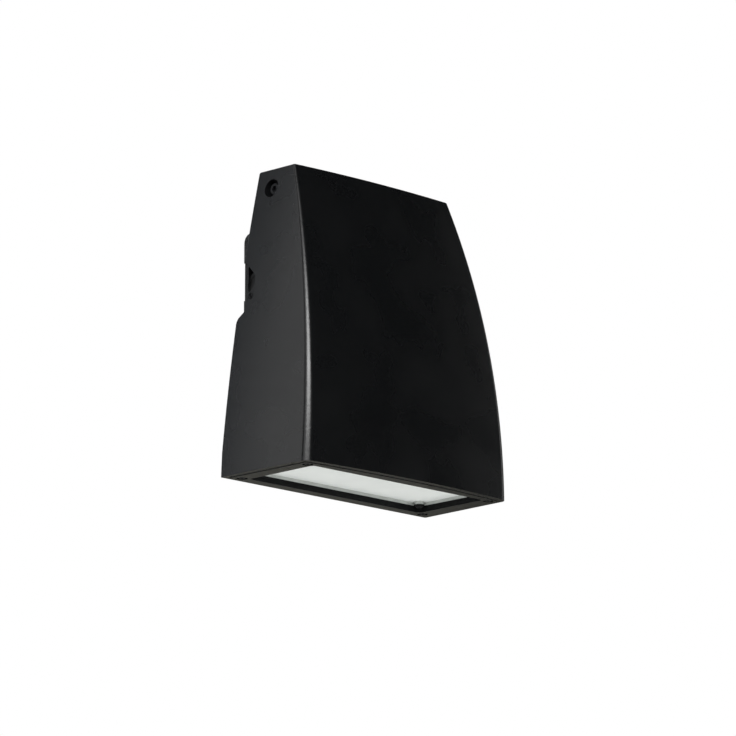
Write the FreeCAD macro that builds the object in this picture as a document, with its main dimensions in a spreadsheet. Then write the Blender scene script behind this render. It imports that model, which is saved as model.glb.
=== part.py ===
"""Wall pack light: a wedge-shaped cast head that tilts on a wall box, with a frosted lens below.

Frame: millimetres, +X to the right as seen from the room, +Y into the wall, +Z up.
The origin is the centre of the wall box's screw pattern, on the wall's surface.
"""
import FreeCAD, Part
import Sketcher
import math
import os
import re
from FreeCAD import Rotation, Vector

doc = FreeCAD.newDocument("wall_pack_light")
sheet = doc.addObject("Spreadsheet::Sheet", "Sizes")

# ---------------------------------------------------------------- driving dimensions

SIZES = {
    # the head's outer form; heights are counted from the head's lower edge
    "mount_drop": (102.4, "screw pattern's centre below the top"),
    "head_height": (262.8, "lower edge to flat top"),
    "half_width": (117.8, "half width across the front corners, at the underside"),
    "side_lean": (2.34, "degrees the sides lean in at the underside"),
    "top_in": (27.27, "sides at the top, in from the half width"),
    "plan_draft": (1.2, "degrees the sides open towards the wall"),
    "front_depth": (100.3, "wall to front corners, at the deepest height"),
    "front_peak": (13.8, "height of the deepest place"),
    "top_depth": (57.15, "wall to front corners, at the top"),
    "bow_radius": (1080.0, "radius of the front, seen from above"),
    "corner_low": (8.0, "front corner rounding at the underside"),
    "corner_high": (2.2, "front corner rounding at the top"),
    "rear_gap": (0.6, "wall to the head's rear edges, low down"),
    "rear_lean": (3.45, "degrees the rear edges lean away from the wall"),
    "lean_start": (20.4, "height where the rear edges start to lean"),
    "top_round": (1.5, "rounding round the flat top"),
    "rear_round": (2.0, "rounding of the top's rear edge"),
    "cast_wall": (3.0, "wall of the cast head"),
    "gland_reach": (20.0, "wire barrel's end to the joint of the cables"),
    "tool_over": (20.0, "cutting forms past the head"),
    # hinge
    "pivot_drop": (17.4, "hinge axis below the top"),
    "pivot_out": (33.0, "hinge axis from the wall"),
    "pivot_screw_r": (3.0, "hinge screw shank"),
    "pivot_head_r": (5.0, "hinge screw head"),
    "pivot_head_h": (6.0, "hinge screw head height"),
    "pivot_hex_r": (2.9, "corner radius of the hex sockets"),
    "recess_r": (7.85, "round recess over a hinge screw"),
    "boss_r": (12.0, "cast boss round a hinge screw"),
    "boss_floor": (3.0, "metal under a hinge screw head"),
    "boss_in": (36.0, "inner face of the hinge boss, in from the half width"),
    "running_gap": (0.3, "gap between faces that turn on each other"),
    "fit_gap": (0.05, "radial gap of pins and bushes"),
    "screw_gap": (0.3, "radial gap of screw clearance holes"),
    "disc_t": (1.0, "friction disc, washer and bush flange"),
    "disc_r": (10.0, "friction disc"),
    "bush_r": (4.6, "hinge bush"),
    "nut_t": (6.0, "hinge nut"),
    "nut_r": (5.77, "hinge nut across corners, halved"),
    # wall box
    "wall_gasket_t": (2.0, "foam between box and wall"),
    "flange_in": (22.2, "side of the box's wall flange, in from the half width"),
    "flange_high": (108.0, "height of the wall flange"),
    "flange_t": (4.0, "wall flange"),
    "flange_round": (12.0, "wall flange corners"),
    "flange_notch": (1.5, "depth of the side notches in the flange"),
    "notch_low": (-7.0, "lower end of a flange notch"),
    "notch_high": (25.5, "upper end of a flange notch"),
    "gasket_inset": (1.4, "gasket inside the flange outline"),
    "box_in": (33.8, "side of the box, in from the half width"),
    "box_high": (94.0, "height of the box"),
    "box_depth": (41.0, "wall to the box's open front"),
    "box_wall": (4.0, "walls of the box"),
    "wall_hole_in": (19.0, "wall screws, in from the box's sides"),
    "wall_hole_z": (60.0, "wall screw spacing, up"),
    "wall_hole_r": (3.25, "wall screw holes"),
    "jbox_hole_x": (88.9, "junction box screw spacing"),
    "jbox_hole_r": (2.5, "junction box screw holes"),
    "ground_x": (52.0, "box ground screw from the middle"),
    "ground_z": (-33.0, "box ground screw from the pattern's centre, up"),
    "wire_hole_r": (11.0, "rear wire entry"),
    "ear_t": (5.0, "hinge ear"),
    "ear_r": (12.0, "hinge ear's round end"),
    "hub_r": (13.0, "conduit hub"),
    "hub_in": (25.8, "outer face of a conduit hub, in from the half width"),
    "hub_bore_r": (10.4, "conduit hub bore"),
    "hub_out": (15.5, "conduit hub's axis from the wall"),
    "hub_up": (5.0, "conduit hub's axis above the screw pattern"),
    "plug_back": (0.5, "conduit plug below the hub's face"),
    "plug_long": (10.0, "conduit plug"),
    "slot_w": (1.6, "screwdriver slots"),
    "slot_deep": (1.6, "depth of screwdriver slots"),
    # head, rear side
    "bulkhead_out": (47.0, "wall to the head's inner rear wall"),
    "shelf_drop": (62.0, "top of the shelf under the wall box, below the screw pattern's centre"),
    "bay_r": (10.8, "round conduit bay in a side's rear edge"),
    "bay_low": (-5.0, "flat lower end of the conduit bay"),
    "relief_out": (16.8, "wall to the side's edge below the bay"),
    "relief_low": (-20.8, "where the side's edge turns back out"),
    "ramp_out": (10.2, "wall to the outer end of the ramp below"),
    "ramp_low": (-25.7, "lower end of that ramp"),
    "relief_end": (-34.0, "where the side's edge is full depth again"),
    "relief_bulge": (0.5, "rounding out of the edge between the ramp and there"),
    "lock_up": (-8.3, "lock screw below the screw pattern's centre"),
    "lock_out": (22.6, "lock screw from the wall"),
    "lock_r": (3.0, "lock screw"),
    "lock_long": (13.3, "lock screw's length"),
    "lock_slot_w": (2.2, "lock screw's slot"),
    "lock_boss_r": (6.0, "boss round a lock screw"),
    "lock_in": (22.8, "inner face of the lock boss, in from the half width"),
    "lock_seat": (0.3, "lock screw's tip to its pad on the box"),
    "pad_long": (12.0, "side of the lock screw's pad"),
    "lock_slot_turn": (25.0, "degrees the lock screw's slot is turned"),
    # wire barrel on the hinge axis
    "barrel_long": (52.0, "wire barrel"),
    "barrel_r": (11.0, "half height of the wire barrel"),
    # door frame, lens and gaskets
    "frame_border": (5.5, "head's lower edge beside and in front of the door frame"),
    "frame_behind": (4.3, "head's lower edge behind the door frame"),
    "frame_gap": (0.3, "door frame to the head's lower edge"),
    "frame_proud": (0.5, "door frame's face below the head's lower edge"),
    "frame_t": (3.7, "door frame"),
    "lip_high": (1.7, "frame's lip round the lens opening"),
    "open_in": (18.3, "ends of the lens opening, in from the half width"),
    "open_rear": (13.5, "wall to the lens opening"),
    "open_back": (10.8, "opening's front edge behind the front corners"),
    "open_round": (4.0, "corners of the lens opening"),
    "door_gasket_t": (0.6, "door gasket"),
    "gasket_show": (1.0, "door gasket inside the outline"),
    "lens_lap": (2.3, "lens over the frame's edge"),
    "lens_gasket_t": (2.75, "lens gasket"),
    "lens_t": (3.0, "lens"),
    "lens_gap": (0.8, "lens to the head's rim"),
    "rim_t": (5.0, "head's lower rim"),
    "door_screw_in": (12.3, "door screws, in from the half width"),
    "door_screw_rear": (11.5, "rear door screws from the wall"),
    "door_screw_back": (10.8, "front door screws behind the front corners"),
    "door_screw_r": (2.0, "door screw"),
    "door_head_r": (4.0, "door screw head"),
    "door_head_h": (1.8, "door screw head height"),
    "door_bore_r": (4.75, "counterbore of a door screw"),
    "door_bore_deep": (2.0, "depth of that counterbore"),
    "door_screw_long": (18.0, "door screw shank"),
    "post_r": (3.6, "post for a door screw"),
    "lens_screw_end": (5.8, "lens screws, in from the opening's ends"),
    "lens_screw_in": (5.8, "lens screws from the opening's front and rear edges"),
    "lens_boss_r": (4.2, "boss in a corner of the opening, for a lens screw"),
    "lens_boss_t": (1.0, "that boss"),
    "lens_head_r": (3.5, "lens screw head"),
    "lens_head_h": (1.6, "lens screw head height"),
    # optics and electronics
    "reflector_t": (1.5, "reflector sheet"),
    "mouth_in": (11.5, "ends of the reflector's mouth, in from the opening's ends"),
    "mouth_inset": (11.0, "reflector's mouth inside the opening, front and rear"),
    "throat_in": (23.0, "ends of the reflector's throat, in from the opening's ends"),
    "throat_inset": (17.0, "reflector's throat inside the opening"),
    "plate_height": (40.0, "underside of the heat plate"),
    "plate_t": (3.0, "heat plate"),
    "plate_in": (13.8, "ends of the heat plate, in from the half width"),
    "plate_rear": (12.0, "wall to the heat plate"),
    "plate_back": (8.3, "heat plate's front edge behind the front corners"),
    "pad_t": (0.5, "thermal pad"),
    "board_t": (1.6, "light board"),
    "board_in": (16.0, "ends of the light board, in from the heat plate's"),
    "board_rear_in": (13.0, "light board's rear edge in front of the opening's"),
    "board_front_in": (12.5, "light board's front edge behind the opening's"),
    "led_side": (5.0, "side of a light chip"),
    "led_t": (0.8, "light chip"),
    "led_pitch": (12.0, "rows of light chips, centre to centre"),
    "led_end": (10.5, "outermost chips, in from the throat's ends"),
    "led_columns": (12, "light chips along the board"),
    "led_rows": (3, "light chips across the board"),
    "small_screw_r": (2.0, "small inner screws"),
    "small_head_r": (3.5, "small screw heads"),
    "small_head_h": (2.4, "small screw head height"),
    "lug_long": (25.8, "plate lug, in from the half width"),
    "lug_wide": (12.0, "plate lug"),
    "lug_high": (12.0, "plate lug's height"),
    "plate_screw_in": (6.0, "plate screws, in from the plate's ends"),
    "plate_screw_rear": (25.0, "rear plate screws from the wall"),
    "plate_screw_back": (18.3, "front plate screws behind the front corners"),
    "board_screw_end": (4.5, "board screws, in from the board's ends"),
    "board_screw_in": (4.5, "board screws from the board's long edges"),
    "bracket_t": (1.5, "driver bracket"),
    "bracket_in": (16.0, "ends of the driver bracket, in from the heat plate's"),
    "bracket_high": (86.0, "driver bracket"),
    "bracket_foot": (14.0, "foot of the driver bracket"),
    "bracket_gap": (2.0, "driver bracket to the inner rear wall"),
    "foot_screw_in": (20.0, "foot screws, in from the bracket's ends"),
    "foot_screw_on": (8.0, "foot screws in front of the bracket's rear face"),
    "driver_in": (16.0, "driver's left end, in from the bracket's"),
    "driver_deep": (26.0, "driver"),
    "driver_high": (58.0, "driver"),
    "driver_lift": (20.0, "driver above the heat plate"),
    "driver_round": (3.0, "driver's long edges"),
    "driver_tab": (8.0, "driver's end tabs"),
    "surge_gap": (12.0, "driver to surge protector"),
    "surge_long": (28.0, "surge protector"),
    "surge_deep": (20.0, "surge protector"),
    "surge_high": (40.0, "surge protector"),
    "surge_lift": (24.0, "surge protector above the heat plate"),
    "vent_in": (17.5, "breather vent, in from the hinge ear"),
    "vent_drop": (21.0, "breather vent below the hinge axis"),
    "vent_r": (7.0, "breather vent's cap"),
    "vent_h": (4.0, "breather vent's cap height"),
    "vent_thread_r": (4.0, "breather vent's thread"),
    # cables and wires
    "cable_r": (3.25, "cable"),
    "wire_r": (0.8, "single wires"),
    "wire_pitch": (1.9, "single wires, centre to centre"),
    "gland_thread_r": (6.0, "cable gland's thread"),
    "gland_hex_r": (9.0, "cable gland's hexagon, across corners, halved"),
    "gland_hex_h": (5.0, "cable gland's hexagon"),
    "gland_cap_r": (7.5, "cable gland's cap"),
    "gland_cap_h": (6.0, "cable gland's cap"),
    "gland_nose_h": (4.0, "cable gland's tapered nose"),
    "gland_nut_t": (3.0, "gland lock nut"),
    "cable_into": (11.0, "cable's inner end, in from the barrel's end"),
    "cable_straight": (16.0, "box's cable, from the head's cable to where it goes down"),
    "cable_in": (22.0, "where the cable goes down, in from the box's side"),
    "cable_bend": (14.0, "cable's bend"),
    "cable_in_box": (10.0, "cable's end below the box's top wall"),
    "grommet_r": (5.2, "grommet's neck in the box"),
    "grommet_lip": (1.3, "grommet's lips"),
    "wire_bend": (7.0, "bends of single wires"),
    "wire_riser_in": (19.0, "first riser of the driver's supply wires, in from the cable's end"),
    "connector_in": (20.0, "mouths of the wire connectors, in from the cable"),
    "connector_long": (20.0, "wire connector"),
    "connector_r": (5.5, "wire connector's mouth"),
    "connector_tip_r": (3.2, "wire connector's tip"),
    "connector_first": (20.0, "highest wire connector above the pattern's centre"),
    "connector_pitch": (15.0, "wire connectors, centre to centre"),
    "led_lead_end": (7.0, "light board leads' grommet past the board's end"),
    "led_lead_side": (5.25, "light board leads in front of the board's middle line"),
    "led_lead_in": (12.0, "where the leads leave the driver, in from its right end"),
    "led_lead_drop": (8.0, "leads below the driver"),
    "lead_bend": (3.0, "bends of the light board leads"),
    "lead_hole_r": (4.0, "leads' hole in the heat plate"),
    "terminal_long": (7.0, "board terminal"),
    "terminal_wide": (10.0, "board terminal"),
    "terminal_high": (3.8, "board terminal"),
    "terminal_edge": (1.0, "board terminal from the board's end"),
}

# places worked out from the sizes
PLACES = {
    # heights and depths of the head
    "mount_height": "head_height - mount_drop",
    "low": "-mount_height",
    "front_drop": "front_depth - top_depth",
    "front_rise": "head_height - front_peak",
    "front_radius": "(front_rise ^ 2 + front_drop ^ 2) / (2 * front_drop)",
    "side_drop": "top_in * cos(side_lean) - head_height * sin(side_lean)",
    "side_radius": "(head_height ^ 2 + top_in ^ 2) / (2 * side_drop)",
    "top": "mount_drop",
    "frame_low": "low - frame_proud",
    "frame_top": "frame_low + frame_t",
    "rim_low": "frame_top + door_gasket_t",
    "rim_top": "rim_low + rim_t",
    "pivot_z": "mount_drop - pivot_drop",
    "shelf_top": "-shelf_drop",
    "wide": "half_width + tool_over",
    "deep": "front_depth + tool_over",
    # hinge, outwards in
    "boss_face": "half_width - boss_in",
    "recess_floor": "boss_face + boss_floor",
    "disc_in": "boss_face - running_gap - disc_t",
    "ear_in": "disc_in - ear_t",
    "bush_in": "ear_in - disc_t",
    "washer_in": "bush_in - running_gap - disc_t",
    "nut_in": "washer_in - nut_t",
    # wall box
    "flange_face": "-wall_gasket_t - flange_t",
    "flange_half": "half_width - flange_in",
    "box_half": "half_width - box_in",
    "box_top": "box_high / 2",
    "wall_hole_x": "2 * (box_half - wall_hole_in)",
    "hub_face": "half_width - hub_in",
    "lock_face": "half_width - lock_in",
    # door frame and lens
    "open_half": "half_width - open_in",
    "open_front": "front_depth - open_back",
    "door_screw_x": "half_width - door_screw_in",
    "door_screw_front": "front_depth - door_screw_back",
    "lip_top": "frame_top + lip_high",
    "lens_low": "lip_top + lens_gasket_t",
    "lens_top": "lens_low + lens_t",
    "lens_half": "open_half + lens_lap",
    "lens_rear": "open_rear - lens_lap",
    "lens_front": "open_front + lens_lap",
    "lens_screw_x": "open_half - lens_screw_end",
    # reflector, heat plate and light board
    "mount_flange_top": "lens_top + reflector_t",
    "mouth_half": "open_half - mouth_in",
    "throat_half": "open_half - throat_in",
    "plate_low": "plate_height - mount_height",
    "plate_top": "plate_low + plate_t",
    "plate_half": "half_width - plate_in",
    "plate_front": "front_depth - plate_back",
    "plate_screw_x": "plate_half - plate_screw_in",
    "plate_screw_front": "front_depth - plate_screw_back",
    "lug_in": "half_width - lug_long",
    "board_top": "plate_low - pad_t",
    "board_low": "board_top - board_t",
    "board_half": "plate_half - board_in",
    "board_rear": "open_rear + board_rear_in",
    "board_front": "open_front - board_front_in",
    "board_middle": "(board_rear + board_front) / 2",
    "board_screw_x": "board_half - board_screw_end",
    "led_step": "2 * (throat_half - led_end) / (led_columns - 1)",
    # driver and what is beside it
    "bracket_rear": "bulkhead_out + cast_wall + bracket_gap",
    "bracket_face": "bracket_rear + bracket_t",
    "bracket_half": "plate_half - bracket_in",
    "foot_top": "plate_top + bracket_t",
    "foot_screw_x": "bracket_half - foot_screw_in",
    "foot_screw_out": "bracket_rear + foot_screw_on",
    "driver_left": "driver_in - bracket_half",
    "driver_right": "surge_left - surge_gap",
    "driver_low": "plate_top + driver_lift",
    "driver_top": "driver_low + driver_high",
    "surge_left": "bracket_half - surge_long",
    "surge_low": "plate_top + surge_lift",
    "vent_x": "vent_in - ear_in",
    # cables and wires
    "cable_drop_x": "box_half - cable_in",
    "cable_split": "cable_drop_x - cable_straight",
    "barrel_right": "cable_split - gland_reach",
    "barrel_left": "barrel_right - barrel_long",
    "cable_start": "barrel_right - cable_into",
    "wire_riser_x": "cable_start - wire_riser_in",
    "connector_mouth": "cable_drop_x - connector_in",
    "led_lead_x": "board_half + led_lead_end",
    "led_lead_out": "board_middle + led_lead_side",
    "led_lead_start": "driver_right - led_lead_in",
    "lead_run_z": "driver_low - led_lead_drop",
}

WORD = re.compile(r"[A-Za-z_][A-Za-z_0-9]*")


def fill_sheet():
    """One row per driving dimension, and one per place worked out from them by a formula."""
    rows = [(alias, str(value), words) for alias, (value, words) in SIZES.items()]
    rows += [(alias, "=" + formula, "worked out") for alias, formula in PLACES.items()]
    for row, (alias, content, words) in enumerate(rows, start=1):
        sheet.setAlias("B%d" % row, alias)
        sheet.set("A%d" % row, alias)
        sheet.set("C%d" % row, words)
    for row, (alias, content, words) in enumerate(rows, start=1):
        sheet.set("B%d" % row, content)
    doc.recompute()


def bound(text):
    """A formula with each name tied to its cell in the sheet."""
    def spell(match):
        word = match.group()
        return "Sizes." + word if word in SIZES or word in PLACES else word
    return WORD.sub(spell, str(text))


def size(alias):
    """The number in a name's cell."""
    return float(sheet.get(alias))


# ---------------------------------------------------------------- building blocks

TURNS = {
    "z": Rotation(),
    "-z": Rotation(Vector(1, 0, 0), 180),
    "x": Rotation(Vector(0, 1, 0), 90),
    "-x": Rotation(Vector(0, 1, 0), -90),
    "y": Rotation(Vector(1, 0, 0), -90),
    "-y": Rotation(Vector(1, 0, 0), 90),
}


def seat(obj, at, turn=Rotation()):
    """Turn an object and bind its place to three formulas."""
    obj.Placement = FreeCAD.Placement(Vector(), turn)
    for letter, text in zip("xyz", at):
        obj.setExpression("Placement.Base." + letter, bound(text))
    return obj


def bind(obj, **formulas):
    """Bind properties to formulas."""
    for name, text in formulas.items():
        obj.setExpression(name, bound(text))
    return obj


def block(name, x, y, z):
    """A box given by its low and high formulas along each axis."""
    obj = doc.addObject("Part::Box", name)
    lengths = ["(%s) - (%s)" % (high, low) for low, high in (x, y, z)]
    bind(obj, Length=lengths[0], Width=lengths[1], Height=lengths[2])
    return seat(obj, (x[0], y[0], z[0]))


def rod(name, radius, length, at, along="z"):
    """A cylinder from a point along an axis."""
    obj = doc.addObject("Part::Cylinder", name)
    bind(obj, Radius=radius, Height=length)
    return seat(obj, at, TURNS[along])


def taper(name, first, last, length, at, along="z"):
    """A cone frustum from a point along an axis."""
    obj = doc.addObject("Part::Cone", name)
    bind(obj, Radius1=first, Radius2=last, Height=length)
    return seat(obj, at, TURNS[along])


def hexagon(name, corner, length, at, along="z"):
    """A hexagonal bar from a point along an axis."""
    obj = doc.addObject("Part::Prism", name)
    obj.Polygon = 6
    bind(obj, Circumradius=corner, Height=length)
    return seat(obj, at, TURNS[along])


def fuse(name, parts):
    obj = doc.addObject("Part::MultiFuse", name)
    obj.Shapes = parts
    return obj


def group(name, parts):
    obj = doc.addObject("Part::Compound", name)
    obj.Links = parts
    return obj


def cut(name, base, tools):
    obj = doc.addObject("Part::Cut", name)
    obj.Base = base
    obj.Tool = tools[0] if len(tools) == 1 else fuse(name + "_tools", tools)
    return obj


def common(name, first, second):
    obj = doc.addObject("Part::Common", name)
    obj.Base = first
    obj.Tool = second
    return obj


def opposite(part):
    """The same thing on the other side of the middle plane."""
    obj = doc.addObject("Part::Mirroring", part.Name + "_opposite")
    obj.Source = part
    obj.Base = Vector(0, 0, 0)
    obj.Normal = Vector(1, 0, 0)
    return obj


def both(part):
    return [part, opposite(part)]


def shaped(name, shape):
    """An object whose shape is worked out in this file."""
    obj = doc.addObject("Part::Feature", name)
    obj.Shape = shape
    return obj


def rounded_block(name, x, y, z, radius, stands="z"):
    """A plate with four rounded corners: a centred rectangle, padded, its short edges filleted."""
    body = doc.addObject("PartDesign::Body", name)
    sketch = body.newObject("Sketcher::SketchObject", name + "_outline")
    plane = [item for item in body.Origin.OriginFeatures if item.Role == "XY_Plane"][0]
    sketch.AttachmentSupport = [(plane, "")]
    sketch.MapMode = "FlatFace"
    corners = [Vector(-1, -1, 0), Vector(1, -1, 0), Vector(1, 1, 0), Vector(-1, 1, 0)]
    for index in range(4):
        sketch.addGeometry(Part.LineSegment(corners[index], corners[(index + 1) % 4]), False)
    for index in range(4):
        sketch.addConstraint(Sketcher.Constraint("Coincident", index, 2, (index + 1) % 4, 1))
    for index in (0, 2):
        sketch.addConstraint(Sketcher.Constraint("Horizontal", index))
    for index in (1, 3):
        sketch.addConstraint(Sketcher.Constraint("Vertical", index))
    sketch.addConstraint(Sketcher.Constraint("Symmetric", 0, 1, 1, 2, -1, 1))
    across = sketch.addConstraint(Sketcher.Constraint("DistanceX", 0, 1, 0, 2, 2.0))
    upward = sketch.addConstraint(Sketcher.Constraint("DistanceY", 1, 1, 1, 2, 2.0))
    sketch.renameConstraint(across, "across")
    sketch.renameConstraint(upward, "upward")
    other, thick = (y, z) if stands == "z" else (z, y)
    sketch.setExpression("Constraints.across", bound("(%s) - (%s)" % (x[1], x[0])))
    sketch.setExpression("Constraints.upward", bound("(%s) - (%s)" % (other[1], other[0])))
    pad = body.newObject("PartDesign::Pad", name + "_pad")
    pad.Profile = sketch
    bind(pad, Length="(%s) - (%s)" % (thick[1], thick[0]))
    doc.recompute()
    short = [
        "Edge%d" % number for number, edge in enumerate(pad.Shape.Edges, start=1)
        if abs(edge.tangentAt(edge.FirstParameter).z) > 0.9
    ]
    fillet = body.newObject("PartDesign::Fillet", name + "_corners")
    fillet.Base = (pad, short)
    bind(fillet, Radius=radius)
    middle_x = "((%s) + (%s)) / 2" % x
    if stands == "z":
        return seat(body, (middle_x, "((%s) + (%s)) / 2" % y, z[0]))
    return seat(body, (middle_x, y[1], "((%s) + (%s)) / 2" % z), TURNS["-y"])


NODES = []


def node(name, obj):
    """Name a finished sub-part."""
    obj.Label = name
    NODES.append(obj)
    return obj


def screw(name, head_r, head_h, shank_r, shank_long, at, along, drive="slot"):
    """A round-headed screw whose shank starts at a point and goes along an axis."""
    away = {"z": "-z", "-z": "z", "x": "-x", "-x": "x", "y": "-y", "-y": "y"}[along]
    head = rod(name + "_head", head_r, head_h, at, away)
    shank = rod(name + "_shank", shank_r, shank_long, at, along)
    whole = fuse(name + "_blank", [head, shank])
    lift = {"x": 0, "y": 1, "z": 2}[away[-1]]
    start = list(at)
    sign = "-" if away[0] == "-" else "+"
    start[lift] = "(%s) %s ((%s) - (%s) / 2)" % (at[lift], sign, head_h, head_h)
    socket = hexagon(name + "_socket", "(%s) * 0.45" % head_r, head_h, start, away)
    return cut(name, whole, [socket])


def tube_path(points, bend):
    """Straight runs joined by tangent arcs of one radius."""
    edges = []
    start = points[0]
    for before, corner, after in zip(points, points[1:], points[2:]):
        into = (before - corner).normalize()
        out = (after - corner).normalize()
        half = into.getAngle(out) / 2
        back = bend / math.tan(half)
        middle = (into + out).normalize()
        hub = corner + middle * (bend / math.sin(half))
        first = corner + into * back
        last = corner + out * back
        edges.append(Part.LineSegment(start, first).toShape())
        edges.append(Part.Arc(first, hub - middle * bend, last).toShape())
        start = last
    edges.append(Part.LineSegment(start, points[-1]).toShape())
    return Part.Wire(edges)


def tube(points, bend, radius):
    """A round wire or cable along a path of runs and arcs."""
    path = tube_path([Vector(*point) for point in points], bend)
    first = path.Edges[0]
    start = first.valueAt(first.FirstParameter)
    ring = Part.Wire([Part.Circle(start, first.tangentAt(first.FirstParameter), radius).toShape()])
    solid = path.makePipeShell([ring], True, False)
    expected = math.pi * radius ** 2 * path.Length
    if abs(solid.Volume - expected) > 0.02 * expected:
        raise ValueError("a tube's volume differs from its section times its length")
    return solid


# ---------------------------------------------------------------- the head's form

def head_outline(height, inset, rear):
    """The head's outline at one height: straight sides, a bowed front and rounded front corners."""
    lean = math.radians(size("side_lean"))
    side_r = size("side_radius")
    below = side_r * math.sin(lean)
    half = size("half_width") - side_r * math.cos(lean) + math.sqrt(side_r ** 2 - (height + below) ** 2)
    front_r = size("front_radius")
    rise = height - size("front_peak")
    depth = size("front_depth") - front_r + math.sqrt(front_r ** 2 - rise ** 2)
    share = height / size("head_height")
    corner = size("corner_low") + (size("corner_high") - size("corner_low")) * share
    corner = max(corner - inset, size("corner_high") / 4)
    half -= inset
    depth -= inset
    bow = size("bow_radius") - inset
    draft = math.tan(math.radians(size("plan_draft")))
    slant = math.hypot(1, draft)
    bow_y = -depth + math.sqrt(bow ** 2 - half ** 2)
    # the corner's centre lies on the side line moved in by the corner radius, and inside the bow
    start = Vector(-half + corner / slant, -depth + corner * draft / slant, 0)
    from_bow = start - Vector(0, bow_y, 0)
    along = Vector(-draft, 1, 0)
    a = along.dot(along)
    b = 2 * from_bow.dot(along)
    c = from_bow.dot(from_bow) - (bow - corner) ** 2
    shift = (-b - math.sqrt(b * b - 4 * a * c)) / (2 * a)
    centre = start + along * shift
    on_side = centre - Vector(1, draft, 0) * (corner / slant)
    outward = (centre - Vector(0, bow_y, 0)).normalize()
    on_front = Vector(0, bow_y, 0) + outward * bow
    between = centre + ((on_side - centre) + (on_front - centre)).normalize() * corner
    rear_x = -half - draft * (rear + depth)
    left = [Vector(rear_x, rear, 0), on_side, between, on_front]
    right = [Vector(-point.x, point.y, 0) for point in left]
    nose = Vector(0, bow_y - bow, 0)
    edges = [
        Part.LineSegment(left[0], left[1]).toShape(),
        Part.Arc(left[1], left[2], left[3]).toShape(),
        Part.Arc(left[3], nose, right[3]).toShape(),
        Part.Arc(right[3], right[2], right[1]).toShape(),
        Part.LineSegment(right[1], right[0]).toShape(),
        Part.LineSegment(right[0], left[0]).toShape(),
    ]
    wire = Part.Wire(edges)
    wire.translate(Vector(0, 0, height - size("mount_height")))
    return wire


def head_loft(lowest, highest, inset, rear):
    """The head's form between two heights, lofted through evenly spaced outlines."""
    steps = 8
    heights = [lowest + (highest - lowest) * step / steps for step in range(steps + 1)]
    return Part.makeLoft([head_outline(height, inset, rear) for height in heights], True, False)


def lean_cutter():
    """Everything behind the leaning rear edges."""
    reach = 2 * size("head_height")
    cutter = Part.makeBox(2 * reach, reach, reach, Vector(-reach, 0, 0))
    hinge = Vector(0, -size("rear_gap"), size("lean_start") - size("mount_height"))
    cutter.Placement = FreeCAD.Placement(hinge, Rotation(Vector(1, 0, 0), size("rear_lean")))
    return cutter


def head_form():
    """The whole outer form, trimmed to its leaning rear edges and rounded at the top."""
    form = head_loft(0, size("head_height"), 0, -size("rear_gap")).cut(lean_cutter())
    top = size("head_height") - size("mount_height")
    rims = [edge for edge in form.Edges if edge.BoundBox.ZMin > top - 0.01]
    rear = [edge for edge in rims if edge.BoundBox.YLength < 0.01]
    form = form.makeFillet(size("rear_round"), rear)
    rims = [
        edge for edge in form.Edges
        if edge.BoundBox.ZMin > top - 0.01 and not (edge.BoundBox.YLength < 0.01)
    ]
    return shaped("head_form", form.makeFillet(size("top_round"), rims))


def foot_sheet(name, inset, behind, lowest, highest):
    """A flat sheet between two heights, its outline the head's lowest one moved inwards."""
    face = Part.Face(head_outline(0, inset, -size("rear_gap") - behind))
    face.translate(Vector(0, 0, lowest - size("low")))
    return shaped(name, face.extrude(Vector(0, 0, highest - lowest)))


def head_hollow():
    """The room inside the head's walls, open below and behind."""
    beyond = 2 * size("cast_wall")
    hollow = head_loft(-1, size("head_height") - size("cast_wall"), size("cast_wall"), beyond)
    return shaped("head_hollow", hollow)


# ---------------------------------------------------------------- wall box and hinge

def wall_pattern(name, radius, start, length):
    """Rods where the wall screws, the junction box screws and the supply wires pass."""
    tools = []
    for side in (-1, 1):
        for level in (-1, 1):
            at = ("%d * wall_hole_x / 2" % side, start, "%d * wall_hole_z / 2" % level)
            tools.append(rod("%s_wall" % name, "wall_hole_r + " + radius, length, at, "-y"))
        at = ("%d * jbox_hole_x / 2" % side, start, "0")
        tools.append(rod("%s_jbox" % name, "jbox_hole_r + " + radius, length, at, "-y"))
    tools.append(rod("%s_wire" % name, "wire_hole_r + " + radius, length, ("0", start, "0"), "-y"))
    return tools


def make_wall_gasket():
    sheet_form = rounded_block(
        "gasket_sheet", ("-flange_half + gasket_inset + flange_notch", "flange_half - gasket_inset - flange_notch"),
        ("-wall_gasket_t", "0"), ("-flange_high / 2 + gasket_inset", "flange_high / 2 - gasket_inset"),
        "flange_round", "y")
    node("wall_gasket", cut("wall_gasket", sheet_form, wall_pattern("gasket_hole", "0", "1", "wall_gasket_t + 2")))


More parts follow.
